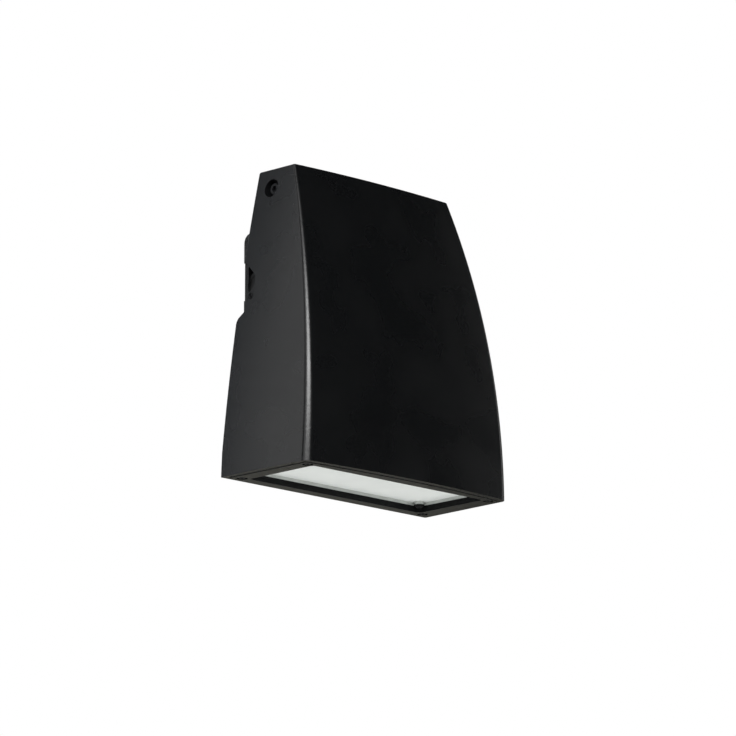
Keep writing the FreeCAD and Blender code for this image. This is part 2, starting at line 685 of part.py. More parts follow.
def make_wall_box():
    flange = rounded_block(
        "box_flange", ("-flange_half", "flange_half"), ("flange_face", "-wall_gasket_t"),
        ("-flange_high / 2", "flange_high / 2"), "flange_round", "y")
    walls = rounded_block(
        "box_walls", ("-box_half", "box_half"), ("-box_depth", "flange_face + 1"),
        ("-box_top", "box_top"), "box_wall + 2", "y")
    hub = rod("hub", "hub_r", "hub_face - box_half + box_wall",
              ("box_half - box_wall", "-hub_out", "hub_up"), "x")
    pad = block("lock_pad", ("box_half - box_wall", "lock_face - 1"),
                ("-lock_out - pad_long / 2", "-lock_out + pad_long / 2"),
                ("lock_up - pad_long / 2", "lock_up + pad_long / 2"))
    ear_end = rod("ear_end", "ear_r", "ear_t", ("ear_in", "-pivot_out", "pivot_z"), "x")
    ear_arm = block("ear_arm", ("ear_in", "ear_in + ear_t"), ("-pivot_out - ear_r", "-pivot_out + ear_r"),
                    ("box_top - 2 * box_wall", "pivot_z"))
    solid = fuse("box_solid", [flange, walls] + both(hub) + both(pad) + both(ear_end) + both(ear_arm))
    room = rounded_block(
        "box_room", ("-box_half + box_wall", "box_half - box_wall"), ("-box_depth - ear_r", "flange_face"),
        ("-box_top + box_wall", "box_top - box_wall"), "2", "y")
    notch = block("flange_side_notch", ("flange_half - flange_notch", "flange_half + 1"),
                  ("flange_face - 0.01", "0"), ("notch_low", "notch_high"))
    hub_bore = rod("hub_bore", "hub_bore_r", "hub_face",
                   ("box_half - 2 * box_wall", "-hub_out", "hub_up"), "x")
    ear_bore = rod("ear_bore", "bush_r + fit_gap", "ear_t + 2", ("ear_in - 1", "-pivot_out", "pivot_z"), "x")
    cable_hole = rod("box_cable_hole", "grommet_r", "box_wall + 2",
                     ("cable_drop_x", "-pivot_out", "box_top - box_wall - 1"), "z")
    ground_hole = rod("box_ground_hole", "small_screw_r + fit_gap", "flange_t",
                      ("ground_x", "flange_face - 1", "ground_z"), "y")
    tools = [room, cable_hole, ground_hole] + both(notch) + both(hub_bore) + both(ear_bore)
    tools += wall_pattern("box_hole", "0", "0", "flange_t + wall_gasket_t + 1")
    node("wall_box", cut("wall_box", solid, tools))
    node("box_ground_screw", screw(
        "box_ground_screw", "small_head_r", "small_head_h", "small_screw_r", "flange_t - 1.5",
        ("ground_x", "flange_face", "ground_z"), "y"))


def make_conduit_plugs():
    blank = rod("plug_blank", "hub_bore_r - fit_gap", "plug_long",
                ("hub_face - plug_back - plug_long", "-hub_out", "hub_up"), "x")
    slot = block("plug_slot", ("hub_face - plug_back - slot_deep / 2", "hub_face"),
                 ("-hub_out - hub_bore_r * 0.6", "-hub_out + hub_bore_r * 0.6"),
                 ("hub_up - slot_w / 2", "hub_up + slot_w / 2"))
    node("conduit_plugs", group("conduit_plugs", both(cut("conduit_plug", blank, [slot]))))


def ring(name, outer, inner, start, length):
    """A flat ring round the hinge axis."""
    disc = rod(name + "_disc", outer, length, (start, "-pivot_out", "pivot_z"), "x")
    hole = rod(name + "_hole", inner, "(%s) + 2" % length, ("(%s) - 1" % start, "-pivot_out", "pivot_z"), "x")
    return cut(name, disc, [hole])


def make_hinge():
    sleeve = rod("bush_sleeve", "bush_r", "ear_t", ("ear_in", "-pivot_out", "pivot_z"), "x")
    collar = rod("bush_collar", "bush_r + 3", "disc_t", ("bush_in", "-pivot_out", "pivot_z"), "x")
    bore = rod("bush_bore", "pivot_screw_r + fit_gap", "ear_t + disc_t + 2",
               ("bush_in - 1", "-pivot_out", "pivot_z"), "x")
    bush = cut("bush", fuse("bush_blank", [sleeve, collar]), [bore])
    node("hinge_bushes", group("hinge_bushes", both(bush)))
    disc = ring("friction_disc", "disc_r", "pivot_screw_r + screw_gap", "disc_in", "disc_t")
    node("friction_discs", group("friction_discs", both(disc)))
    washer = ring("hinge_washer", "bush_r + 2", "pivot_screw_r + screw_gap", "washer_in", "disc_t")
    node("hinge_washers", group("hinge_washers", both(washer)))
    nut_blank = hexagon("nut_blank", "nut_r", "nut_t", ("nut_in", "-pivot_out", "pivot_z"), "x")
    nut_bore = rod("nut_bore", "pivot_screw_r + fit_gap", "nut_t + 2",
                   ("nut_in - 1", "-pivot_out", "pivot_z"), "x")
    node("hinge_nuts", group("hinge_nuts", both(cut("hinge_nut", nut_blank, [nut_bore]))))
    head = rod("pivot_head", "pivot_head_r", "pivot_head_h", ("recess_floor", "-pivot_out", "pivot_z"), "x")
    shank = rod("pivot_shank", "pivot_screw_r", "recess_floor - nut_in + 1",
                ("nut_in - 1", "-pivot_out", "pivot_z"), "x")
    socket = hexagon("pivot_socket", "pivot_hex_r", "pivot_head_h",
                     ("recess_floor + pivot_head_h / 2", "-pivot_out", "pivot_z"), "x")
    pivot = cut("hinge_screw", fuse("pivot_blank", [head, shank]), [socket])
    node("hinge_screws", group("hinge_screws", both(pivot)))


def make_lock_screws():
    tip = "lock_face - 1 + lock_seat"
    body = rod("lock_blank", "lock_r", "lock_long", (tip, "-lock_out", "lock_up"), "x")
    slot = doc.addObject("Part::Box", "lock_slot")
    bind(slot, Length="slot_deep + 1", Width="lock_slot_w", Height="3 * lock_r")
    turned = -size("lock_slot_turn")
    corner = Rotation(Vector(1, 0, 0), turned).multVec(
        Vector(0, -size("lock_slot_w") / 2, -1.5 * size("lock_r")))
    seat(slot, ("%s + lock_long - slot_deep" % tip, "-lock_out + %r" % corner.y, "lock_up + %r" % corner.z),
         Rotation(Vector(1, 0, 0), turned))
    node("lock_screws", group("lock_screws", both(cut("lock_screw", body, [slot]))))


# ---------------------------------------------------------------- head casting

def bay_profile():
    """Where a side is cut back from the wall: a round bay over the conduit hub, and a relief under it."""
    lean = math.tan(math.radians(size("rear_lean")))
    hub = Vector(0, -size("hub_out"), size("hub_up"))
    radius = size("bay_r")
    slant = radius / math.sqrt(2)
    behind = size("tool_over")
    relief = -size("relief_out")
    low = size("bay_low")
    round_end = hub.y - math.sqrt(radius ** 2 - (hub.z - low) ** 2)
    ramp = Vector(0, -size("ramp_out"), size("ramp_low"))
    end_z = size("relief_end")
    end = Vector(0, -size("rear_gap") - lean * (end_z + size("mount_height") - size("lean_start")), end_z)
    across = (end - ramp).normalize()
    middle = (ramp + end) / 2 + Vector(0, -across.z, across.y) * size("relief_bulge")
    points = [
        Vector(0, behind, hub.z + slant + (behind - hub.y + slant)),
        hub + Vector(0, -slant, slant),
        Vector(0, round_end, low),
        Vector(0, relief, low),
        Vector(0, relief, size("relief_low")),
        ramp,
        end,
        Vector(0, behind, end_z),
    ]
    edges = [
        Part.LineSegment(points[0], points[1]).toShape(),
        Part.Arc(points[1], hub + Vector(0, -radius, 0), points[2]).toShape(),
        Part.LineSegment(points[2], points[3]).toShape(),
        Part.LineSegment(points[3], points[4]).toShape(),
        Part.LineSegment(points[4], points[5]).toShape(),
        Part.Arc(points[5], middle, points[6]).toShape(),
        Part.LineSegment(points[6], points[7]).toShape(),
        Part.LineSegment(points[7], points[0]).toShape(),
    ]
    return Part.Face(Part.Wire(edges))


def make_housing(form, hollow):
    above_rim = block("above_rim", ("-wide", "wide"), ("-deep", "tool_over"), ("rim_low", "top + 5"))
    above = common("head_above_rim", form, above_rim)
    foot = foot_sheet("frame_seat", size("frame_border"), size("frame_behind"), size("low") - 1, size("rim_low"))
    shell = cut("head_shell", form, [common("hollow_above_rim", hollow, above_rim), foot])
    span = ("-wide", "wide")
    bulkhead = block("bulkhead", span, ("-bulkhead_out - cast_wall", "-bulkhead_out"),
                     ("shelf_top - cast_wall", "top - cast_wall / 2"))
    shelf = block("shelf", span, ("-bulkhead_out - cast_wall", "0"), ("shelf_top - cast_wall", "shelf_top"))
    low_rear = block("low_rear_wall", span, ("-rear_gap - cast_wall", "-rear_gap"),
                     ("rim_low", "low + lean_start + cast_wall"))
    high_rear = doc.addObject("Part::Box", "high_rear_wall")
    bind(high_rear, Length="2 * wide", Width="cast_wall", Height="shelf_top - low - lean_start")
    seat(high_rear, ("-wide", "-rear_gap - cast_wall", "low + lean_start"),
         Rotation(Vector(1, 0, 0), size("rear_lean")))
    rim = cut("rim", block("rim_slab", span, ("-deep", "0"), ("rim_low", "rim_top")), [
        rounded_block("rim_opening", ("-lens_half - lens_gap", "lens_half + lens_gap"),
                      ("-lens_front - lens_gap", "-lens_rear + lens_gap"), ("rim_low - 1", "rim_top + 1"),
                      "open_round + lens_lap")])
    posts = []
    post_holes = []
    lugs = []
    lug_holes = []
    for end in ("rear", "front"):
        at = ("door_screw_x", "-door_screw_" + end, "rim_top - 1")
        posts += both(rod("post_" + end, "post_r", "door_screw_long + 2 - rim_t", at))
        at = ("door_screw_x", "-door_screw_" + end, "rim_low - 1")
        post_holes += both(rod("post_hole_" + end, "door_screw_r + fit_gap", "door_screw_long + 1", at))
        out = "plate_screw_" + end
        lugs += both(block("lug_" + end, ("lug_in", "wide"), ("-%s - lug_wide / 2" % out, "-%s + lug_wide / 2" % out),
                           ("plate_top", "plate_top + lug_high")))
        at = ("plate_screw_x", "-" + out, "plate_top - 1")
        lug_holes += both(rod("lug_hole_" + end, "small_screw_r + fit_gap", "lug_high", at))
    boss = rod("hinge_boss", "boss_r", "wide", ("boss_face", "-pivot_out", "pivot_z"), "x")
    lock_boss = rod("lock_boss", "lock_boss_r", "wide", ("lock_face", "-lock_out", "lock_up"), "x")
    barrel = block("wire_barrel", ("barrel_left", "barrel_right"), ("-bulkhead_out - 1", "-pivot_out + barrel_r"),
                   ("pivot_z - barrel_r", "pivot_z + barrel_r"))
    inside = fuse("head_inside", [bulkhead, shelf, low_rear, high_rear, rim, barrel] + posts + lugs
                  + both(boss) + both(lock_boss))
    casting = fuse("head_casting", [shell, common("head_inner_walls", above, inside)])
    recess = rod("hinge_recess", "recess_r", "wide", ("recess_floor", "-pivot_out", "pivot_z"), "x")
    pin_hole = rod("hinge_hole", "pivot_screw_r + screw_gap", "wide", ("boss_face - 1", "-pivot_out", "pivot_z"), "x")
    lock_hole = rod("lock_hole", "lock_r + fit_gap", "wide", ("lock_face - 1", "-lock_out", "lock_up"), "x")
    room = block("barrel_room", ("barrel_left + cast_wall", "barrel_right - cast_wall"),
                 ("-bulkhead_out - cast_wall - 1", "-pivot_out + barrel_r - cast_wall"),
                 ("pivot_z - barrel_r + cast_wall", "pivot_z + barrel_r - cast_wall"))
    gland_hole = rod("gland_hole", "gland_thread_r + fit_gap", "cast_wall + 2",
                     ("barrel_right - cast_wall - 1", "-pivot_out", "pivot_z"), "x")
    vent_hole = rod("vent_hole", "vent_thread_r + fit_gap", "cast_wall + 2",
                    ("vent_x", "-bulkhead_out + 1", "pivot_z - vent_drop"), "-y")
    bay = shaped("side_bays", bay_profile().extrude(Vector(2 * size("wide"), 0, 0)))
    bay.Placement = FreeCAD.Placement(Vector(-size("wide"), 0, 0), Rotation())
    tools = [room, gland_hole, vent_hole, bay] + both(recess) + both(pin_hole) + both(lock_hole)
    node("housing", cut("housing", casting, tools + post_holes + lug_holes))


# ---------------------------------------------------------------- door frame, lens and gaskets

def at_corners(make, x, rear, front):
    """Four copies of a piece at the corners of a rectangle."""
    parts = []
    for label, out in (("rear", rear), ("front", front)):
        parts += both(make(label, (x, "-(%s)" % out)))
    return parts


LENS_SCREWS = ("lens_screw_x", "open_rear + lens_screw_in", "open_front - lens_screw_in")


def lens_bosses(name, radius, lowest, highest, outline):
    """Round bosses in the opening's corners, each with a slanted neck that ends at an outline."""
    def boss(label, at):
        turn = Rotation(Vector(0, 0, 1), {"rear": 45, "front": -45}[label])
        across = turn.multVec(Vector(0, 1, 0))
        tall = "(%s) - (%s)" % (highest, lowest)
        neck = doc.addObject("Part::Box", name + "_neck_" + label)
        bind(neck, Length="lens_screw_end + lens_screw_in", Width="2 * (%s)" % radius, Height=tall)
        seat(neck, ("%s - (%s) * (%r)" % (at[0], radius, across.x), "%s - (%s) * (%r)" % (at[1], radius, across.y),
                    lowest), turn)
        return fuse(name + "_blank_" + label, [rod(name + "_round_" + label, radius, tall, at + (lowest,)), neck])
    return common(name, outline, fuse(name + "_four", at_corners(boss, *LENS_SCREWS)))


def make_door():
    inset = size("frame_border") + size("frame_gap")
    behind = size("frame_behind") + size("frame_gap")
    slab = foot_sheet("frame_slab", inset, behind, size("frame_low"), size("frame_top"))
    outline = (("-lens_half", "lens_half"), ("-lens_front", "-lens_rear"))
    lip = rounded_block("frame_lip", outline[0], outline[1], ("frame_top - 1", "lip_top"), "open_round + lens_lap - 1")
    opening = rounded_block("lens_opening", ("-open_half", "open_half"), ("-open_front", "-open_rear"),
                            ("frame_low - 1", "lip_top + 1"), "open_round")
    bores = at_corners(
        lambda label, at: rod("door_bore_" + label, "door_bore_r", "door_bore_deep + 1", at + ("frame_low - 1",)),
        "door_screw_x", "door_screw_rear", "door_screw_front")
    holes = at_corners(
        lambda label, at: rod("door_hole_" + label, "door_screw_r + screw_gap", "frame_t + 2",
                          at + ("frame_low - 1",)),
        "door_screw_x", "door_screw_rear", "door_screw_front")
    holes += at_corners(
        lambda label, at: rod("lens_boss_hole_" + label, "small_screw_r + screw_gap", "lens_boss_t + 2",
                              at + ("lip_top - lens_boss_t - 1",)), *LENS_SCREWS)
    ledge = cut("frame_ledge", fuse("frame_blank", [slab, lip]), [opening])
    bosses = lens_bosses("lens_boss", "lens_boss_r", "lip_top - lens_boss_t", "lip_top", lip)
    node("door_frame", cut("door_frame", fuse("frame_and_bosses", [ledge, bosses]), bores + holes))

    show = size("gasket_show")
    band = foot_sheet("door_gasket_sheet", inset + show, behind + show, size("frame_top"), size("rim_low"))
    inner = rounded_block("gasket_opening", ("-lens_half - lens_gap", "lens_half + lens_gap"),
                          ("-lens_front - lens_gap", "-lens_rear + lens_gap"), ("low", "rim_top"),
                          "open_round + lens_lap")
    holes = at_corners(
        lambda label, at: rod("gasket_hole_" + label, "door_screw_r + screw_gap", "frame_t + 4", at + ("low",)),
        "door_screw_x", "door_screw_rear", "door_screw_front")
    node("door_gasket", cut("door_gasket", band, [inner] + holes))

    seat_z = "frame_low + door_bore_deep"
    screws = at_corners(
        lambda label, at: screw("door_screw_" + label, "door_head_r", "door_head_h", "door_screw_r",
                                "door_screw_long", at + (seat_z,), "z"),
        "door_screw_x", "door_screw_rear", "door_screw_front")
    node("door_screws", group("door_screws", screws))

    tape = rounded_block("lens_tape", outline[0], outline[1], ("lip_top", "lens_low"), "open_round + lens_lap - 1")
    hole = rounded_block("lens_tape_hole", ("-open_half - 0.2", "open_half + 0.2"),
                         ("-open_front - 0.2", "-open_rear + 0.2"), ("lip_top - 1", "lens_low + 1"), "open_round")
    ears = lens_bosses("tape_ear", "lens_boss_r - 0.2", "lip_top", "lens_low", tape)
    ear_holes = at_corners(
        lambda label, at: rod("tape_ear_hole_" + label, "small_screw_r + screw_gap", "lens_gasket_t + 2",
                              at + ("lip_top - 1",)), *LENS_SCREWS)
    band = fuse("lens_tape_and_ears", [cut("lens_tape_band", tape, [hole]), ears])
    node("lens_gasket", cut("lens_gasket", band, ear_holes))

    pane = rounded_block("lens_pane", outline[0], outline[1], ("lens_low", "lens_top"), "open_round + lens_lap - 1")
    holes = at_corners(
        lambda label, at: rod("lens_hole_" + label, "small_screw_r + screw_gap", "lens_t + 2", at + ("lens_low - 1",)),
        *LENS_SCREWS)
    node("lens", cut("lens", pane, holes))
    screws = at_corners(
        lambda label, at: screw("lens_screw_" + label, "lens_head_r", "lens_head_h", "small_screw_r",
                                "mount_flange_top + 2 - lip_top + lens_boss_t", at + ("lip_top - lens_boss_t",), "z"),
        *LENS_SCREWS)
    node("lens_screws", group("lens_screws", screws))


# ---------------------------------------------------------------- optics and electronics

def funnel(name, grow, lower, upper):
    """A four-sided tapered block between the reflector's mouth and throat, grown sideways."""
    obj = doc.addObject("Part::Wedge", name)
    bind(obj, Xmin="-mouth_half - %s" % grow, Xmax="mouth_half + %s" % grow,
         X2min="-throat_half - %s" % grow, X2max="throat_half + %s" % grow,
         Zmin="open_rear + mouth_inset - %s" % grow, Zmax="open_front - mouth_inset + %s" % grow,
         Z2min="open_rear + throat_inset - %s" % grow, Z2max="open_front - throat_inset + %s" % grow,
         Ymin="0", Ymax="(%s) - (%s)" % (upper, lower))
    return seat(obj, ("0", "0", lower), Rotation(Vector(1, 0, 0), 90))


def make_reflector():
    outer = funnel("reflector_outer", "reflector_t", "lens_top", "board_low")
    inner = funnel("reflector_inner", "0", "lens_top", "board_low")
    rim = rounded_block("reflector_rim", ("-lens_half + 1", "lens_half - 1"), ("-lens_front + 1", "-lens_rear - 1"),
                        ("lens_top", "mount_flange_top"), "open_round")
    holes = at_corners(
        lambda label, at: rod("reflector_hole_" + label, "small_screw_r + fit_gap", "reflector_t + 2",
                              at + ("lens_top - 1",)), *LENS_SCREWS)
    node("reflector", cut("reflector", fuse("reflector_blank", [outer, rim]), [inner] + holes))


def make_light_board():
    plate = rounded_block("heat_plate_blank", ("-plate_half", "plate_half"), ("-plate_front", "-plate_rear"),
                          ("plate_low", "plate_top"), "6")
    places = ("plate_screw_x", "plate_screw_rear", "plate_screw_front")
    screw_holes = at_corners(
        lambda label, at: rod("plate_hole_" + label, "small_screw_r + screw_gap", "plate_t + 2",
                              at + ("plate_low - 1",)), *places)
    lead_hole = rod("lead_hole", "lead_hole_r", "plate_t + 2", ("led_lead_x", "-led_lead_out", "plate_low - 1"))
    board_places = ("board_screw_x", "board_rear + board_screw_in", "board_front - board_screw_in")
    board_holes = at_corners(
        lambda label, at: rod("board_thread_" + label, "small_screw_r + fit_gap", "plate_t - 0.5",
                              at + ("plate_low - 1",)), *board_places)
    foot_holes = both(rod("foot_thread", "small_screw_r + fit_gap", "plate_t",
                          ("foot_screw_x", "-foot_screw_out", "plate_low + 0.5")))
    ground_hole = rod("head_ground_thread", "small_screw_r + fit_gap", "plate_t",
                      ("-foot_screw_x / 2", "-foot_screw_out", "plate_low + 0.5"))
    node("heat_plate", cut("heat_plate", plate,
                           screw_holes + [lead_hole, ground_hole] + board_holes + foot_holes))
    screws = at_corners(
        lambda label, at: screw("plate_screw_" + label, "small_head_r", "small_head_h", "small_screw_r",
                                "plate_t + lug_high - 2", at + ("plate_low",), "z"), *places)
    node("plate_screws", group("plate_screws", screws))

    span = (("-board_half", "board_half"), ("-board_front", "-board_rear"))
    holes = at_corners(
        lambda label, at: rod("pad_hole_" + label, "small_screw_r + screw_gap", "pad_t + 2",
                              at + ("board_top - 1",)), *board_places)
    node("thermal_pad", cut("thermal_pad", block("pad_sheet", span[0], span[1], ("board_top", "plate_low")), holes))
    holes = at_corners(
        lambda label, at: rod("board_hole_" + label, "small_screw_r + screw_gap", "board_t + 2",
                              at + ("board_low - 1",)), *board_places)
    node("light_board", cut("light_board", block("board_sheet", span[0], span[1], ("board_low", "board_top")), holes))
    screws = at_corners(
        lambda label, at: screw("board_screw_" + label, "small_head_r", "small_head_h - 0.4", "small_screw_r",
                                "board_t + pad_t + plate_t - 1.7", at + ("board_low",), "z"), *board_places)
    node("board_screws", group("board_screws", screws))

    chips = []
    for column in range(int(size("led_columns"))):
        for row in range(int(size("led_rows"))):
            x = "(%d - (led_columns - 1) / 2) * led_step" % column
            y = "-board_middle + (%d - (led_rows - 1) / 2) * led_pitch" % row
            chips.append(block("chip", ("%s - led_side / 2" % x, "%s + led_side / 2" % x),
                               ("%s - led_side / 2" % y, "%s + led_side / 2" % y), ("board_low - led_t", "board_low")))
    node("light_chips", group("light_chips", chips))
    node("board_terminal", block(
        "board_terminal", ("board_half - terminal_edge - terminal_long", "board_half - terminal_edge"),
        ("-led_lead_out - terminal_wide / 2", "-led_lead_out + terminal_wide / 2"),
        ("board_low - terminal_high", "board_low")))


def make_driver():
    plate = block("bracket_plate", ("-bracket_half", "bracket_half"), ("-bracket_face", "-bracket_rear"),
                  ("plate_top", "plate_top + bracket_high"))
    foot = block("bracket_foot_plate", ("-bracket_half", "bracket_half"),
                 ("-bracket_rear - bracket_foot", "-bracket_rear"), ("plate_top", "foot_top"))
    foot_holes = both(rod("foot_hole", "small_screw_r + screw_gap", "bracket_t + 2",
                          ("foot_screw_x", "-foot_screw_out", "plate_top - 1")))
    ground_hole = rod("head_ground_hole", "small_screw_r + screw_gap", "bracket_t + 2",
                      ("-foot_screw_x / 2", "-foot_screw_out", "plate_top - 1"))
    tab_z = "driver_low + driver_high / 2"
    tab_x = ("driver_left - driver_tab / 2", "driver_right + driver_tab / 2")
    tab_holes = [rod("bracket_thread", "small_screw_r + fit_gap", "bracket_t + 2", (x, "-bracket_rear + 1", tab_z), "-y")
                 for x in tab_x]
    node("driver_bracket", cut("driver_bracket", fuse("bracket_blank", [plate, foot]),
                               foot_holes + [ground_hole] + tab_holes))
    screws = both(screw("foot_screw", "small_head_r", "small_head_h", "small_screw_r", "bracket_t + plate_t - 0.7",
                        ("foot_screw_x", "-foot_screw_out", "foot_top"), "-z"))
    node("bracket_screws", group("bracket_screws", screws))
    node("head_ground_screw", screw(
        "head_ground_screw", "small_head_r", "small_head_h", "small_screw_r", "bracket_t + plate_t - 0.7",
        ("-foot_screw_x / 2", "-foot_screw_out", "foot_top"), "-z"))

    case = rounded_block(
        "driver_case", ("driver_left", "driver_right"), ("-bracket_face - driver_deep", "-bracket_face"),
        ("driver_low", "driver_top"), "driver_round", "y")
    tab_low = "driver_low + driver_high / 2 - driver_tab"
    tabs = block("driver_tabs", ("driver_left - driver_tab", "driver_right + driver_tab"),
                 ("-bracket_face - bracket_t", "-bracket_face"), (tab_low, "(%s) + 2 * driver_tab" % tab_low))
    holes = [rod("tab_hole", "small_screw_r + screw_gap", "bracket_t + 2", (x, "-bracket_face + 1", tab_z), "-y")
             for x in tab_x]
    node("driver", cut("driver", fuse("driver_blank", [case, tabs]), holes))
    screws = [screw("driver_screw", "small_head_r", "small_head_h", "small_screw_r", "2 * bracket_t + 1",
                    (x, "-bracket_face - bracket_t", tab_z), "y") for x in tab_x]
    node("driver_screws", group("driver_screws", screws))
    node("surge_protector", rounded_block(
        "surge_case", ("surge_left", "surge_left + surge_long"), ("-bracket_face - surge_deep", "-bracket_face"),
        ("surge_low", "surge_low + surge_high"), "driver_round", "y"))


def make_vent():
    at = ("vent_x", "-bulkhead_out", "pivot_z - vent_drop")
    cap = rod("vent_cap", "vent_r", "vent_h", at, "y")
    thread = rod("vent_thread", "vent_thread_r", "cast_wall + 2", at, "-y")
    slot = block("vent_slot", ("vent_x - vent_r", "vent_x + vent_r"),
                 ("-bulkhead_out + vent_h - 1", "-bulkhead_out + vent_h + 1"),
                 ("pivot_z - vent_drop - slot_w / 2", "pivot_z - vent_drop + slot_w / 2"))
    node("breather_vent", cut("breather_vent", fuse("vent_blank", [cap, thread]), [slot]))


# ---------------------------------------------------------------- cable and wires

def make_gland():
    axis = ("-pivot_out", "pivot_z")
    thread_at = "barrel_right - cast_wall - gland_nut_t"
    thread = rod("gland_thread", "gland_thread_r", "cast_wall + gland_nut_t", (thread_at,) + axis, "x")
    hexed = hexagon("gland_hex", "gland_hex_r", "gland_hex_h", ("barrel_right",) + axis, "x")
    cap = rod("gland_cap", "gland_cap_r", "gland_cap_h", ("barrel_right + gland_hex_h",) + axis, "x")
    nose = taper("gland_nose", "gland_cap_r", "cable_r + 2", "gland_nose_h",
                 ("barrel_right + gland_hex_h + gland_cap_h",) + axis, "x")
    bore = rod("gland_bore", "cable_r + fit_gap", "2 * barrel_long", ("barrel_left",) + axis, "x")
    node("cable_gland", cut("cable_gland", fuse("gland_blank", [thread, hexed, cap, nose]), [bore]))
    nut = rod("gland_nut_blank", "gland_thread_r + 1.6", "gland_nut_t", (thread_at,) + axis, "x")
    nut_bore = rod("gland_nut_bore", "gland_thread_r + fit_gap", "gland_nut_t + 2",
                   (thread_at + " - 1",) + axis, "x")
    node("gland_lock_nut", cut("gland_lock_nut", nut, [nut_bore]))
    node("head_cable", rod("head_cable", "cable_r", "cable_split - cable_start", ("cable_start",) + axis, "x"))


def make_box_cable():
    pivot = Vector(0, -size("pivot_out"), size("pivot_z"))
    drop = size("cable_drop_x")
    end = size("box_top") - size("box_wall") - size("cable_in_box")
    route = [
        (size("cable_split") + size("lock_seat"), pivot.y, pivot.z),
        (drop, pivot.y, pivot.z),
        (drop, pivot.y, end),
    ]
    node("box_cable", shaped("box_cable", tube(route, size("cable_bend"), size("cable_r"))))

    at = ("cable_drop_x", "-pivot_out")
    neck = rod("grommet_neck", "grommet_r - fit_gap", "box_wall", at + ("box_top - box_wall",))
    lips = [rod("grommet_lip_up", "grommet_r + grommet_lip", "grommet_lip", at + ("box_top",)),
            rod("grommet_lip_low", "grommet_r + grommet_lip", "grommet_lip", at + ("box_top - box_wall - grommet_lip",))]
    bore = rod("grommet_bore", "cable_r + fit_gap", "4 * box_wall", at + ("box_top - 2 * box_wall",))
    node("cable_grommet", cut("cable_grommet", fuse("grommet_blank", [neck] + lips), [bore]))

    wires = []
    connectors = []
    for index in range(3):
        x = drop + (index - 1) * size("wire_pitch")
        z = size("connector_first") - index * size("connector_pitch")
        into = size("connector_mouth") - size("connector_long") / 3
        wires.append(tube([(x, pivot.y, end), (x, pivot.y, z), (into, pivot.y, z)], size("wire_bend"), size("wire_r")))
        place = ("connector_mouth", "-pivot_out", "connector_first - %d * connector_pitch" % index)
        cone = taper("connector_cone", "connector_r", "connector_tip_r", "connector_long", place, "-x")
        hole = rod("connector_hole", "wire_r + fit_gap", "connector_long / 3", place, "-x")
        connectors.append(cut("connector", cone, [hole]))
    node("splice_wires", shaped("splice_wires", Part.makeCompound(wires)))
    node("wire_connectors", group("wire_connectors", connectors))


def make_head_wires():
    pivot = Vector(0, -size("pivot_out"), size("pivot_z"))
    riser_y = -size("bracket_face") - size("wire_pitch")
    wires = []
    for index in range(3):
        x = size("wire_riser_x") + index * size("wire_pitch") * 1.5
        z = pivot.z + (1 - index) * size("wire_pitch")
        route = [(x, riser_y, size("driver_top")), (x, riser_y, z), (x, pivot.y, z), (size("cable_start"), pivot.y, z)]
        wires.append(tube(route, size("wire_bend"), size("wire_r")))
    node("supply_wires", shaped("supply_wires", Part.makeCompound(wires)))

    run_z = size("lead_run_z")
    terminal_z = size("board_low") - size("terminal_high") / 2
    terminal_x = size("board_half") - size("terminal_edge")
    grommet_x = size("led_lead_x")
    leads = []
    for index in (-1, 1):
        y = -size("led_lead_out") + index * size("wire_pitch") / 2
        start = size("led_lead_start")
        upper = tube_path([Vector(start, y, size("driver_low")), Vector(start, y, run_z), Vector(grommet_x, y, run_z),
                           Vector(grommet_x, y, terminal_z), Vector(terminal_x, y, terminal_z)], size("lead_bend"))
        first = upper.Edges[0]
        circle = Part.Circle(first.valueAt(first.FirstParameter), first.tangentAt(first.FirstParameter), size("wire_r"))
        leads.append(upper.makePipeShell([Part.Wire([circle.toShape()])], True, False))
    node("light_board_leads", shaped("light_board_leads", Part.makeCompound(leads)))

    at = ("led_lead_x", "-led_lead_out")
    neck = rod("lead_grommet_neck", "lead_hole_r - fit_gap", "plate_t", at + ("plate_low",))
    lips = [rod("lead_grommet_up", "lead_hole_r + 1.5", "1", at + ("plate_top",)),
            rod("lead_grommet_low", "lead_hole_r + 1.5", "1", at + ("plate_low - 1",))]
    bore = rod("lead_grommet_bore", "wire_pitch / 2 + wire_r + 0.2", "plate_t + 4", at + ("plate_low - 2",))
    node("lead_grommet", cut("lead_grommet", fuse("lead_grommet_blank", [neck] + lips), [bore]))


# ---------------------------------------------------------------- build, check and write

def check_and_write():
    doc.recompute()
    for obj in doc.Objects:
        if "Invalid" in obj.State or "Error" in obj.State:
            raise ValueError("failed feature: " + obj.Name)
    os.makedirs("parts", exist_ok=True)
    for obj in NODES:
        if obj.Shape.isNull() or not obj.Shape.isValid():
            raise ValueError("bad shape: " + obj.Label)
        obj.Shape.exportStep("parts/" + obj.Label + ".step")
        print("%-20s solids %2d  volume %10.0f" % (obj.Label, len(obj.Shape.Solids), obj.Shape.Volume))


fill_sheet()
FORM = head_form()
HOLLOW = head_hollow()
make_wall_gasket()
make_wall_box()
make_conduit_plugs()
make_hinge()
make_lock_screws()
make_housing(FORM, HOLLOW)
make_door()
make_reflector()
make_light_board()
make_driver()
make_vent()
make_gland()
make_box_cable()
make_head_wires()
check_and_write()
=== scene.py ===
"""Wall pack light: finishes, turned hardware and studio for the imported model.

Laid out as a Blender add-on and run as a script. Lengths are in metres in the row frame:
+X to the right seen from the room, +Y into the wall, +Z up, origin at the wall box's screw pattern.
"""

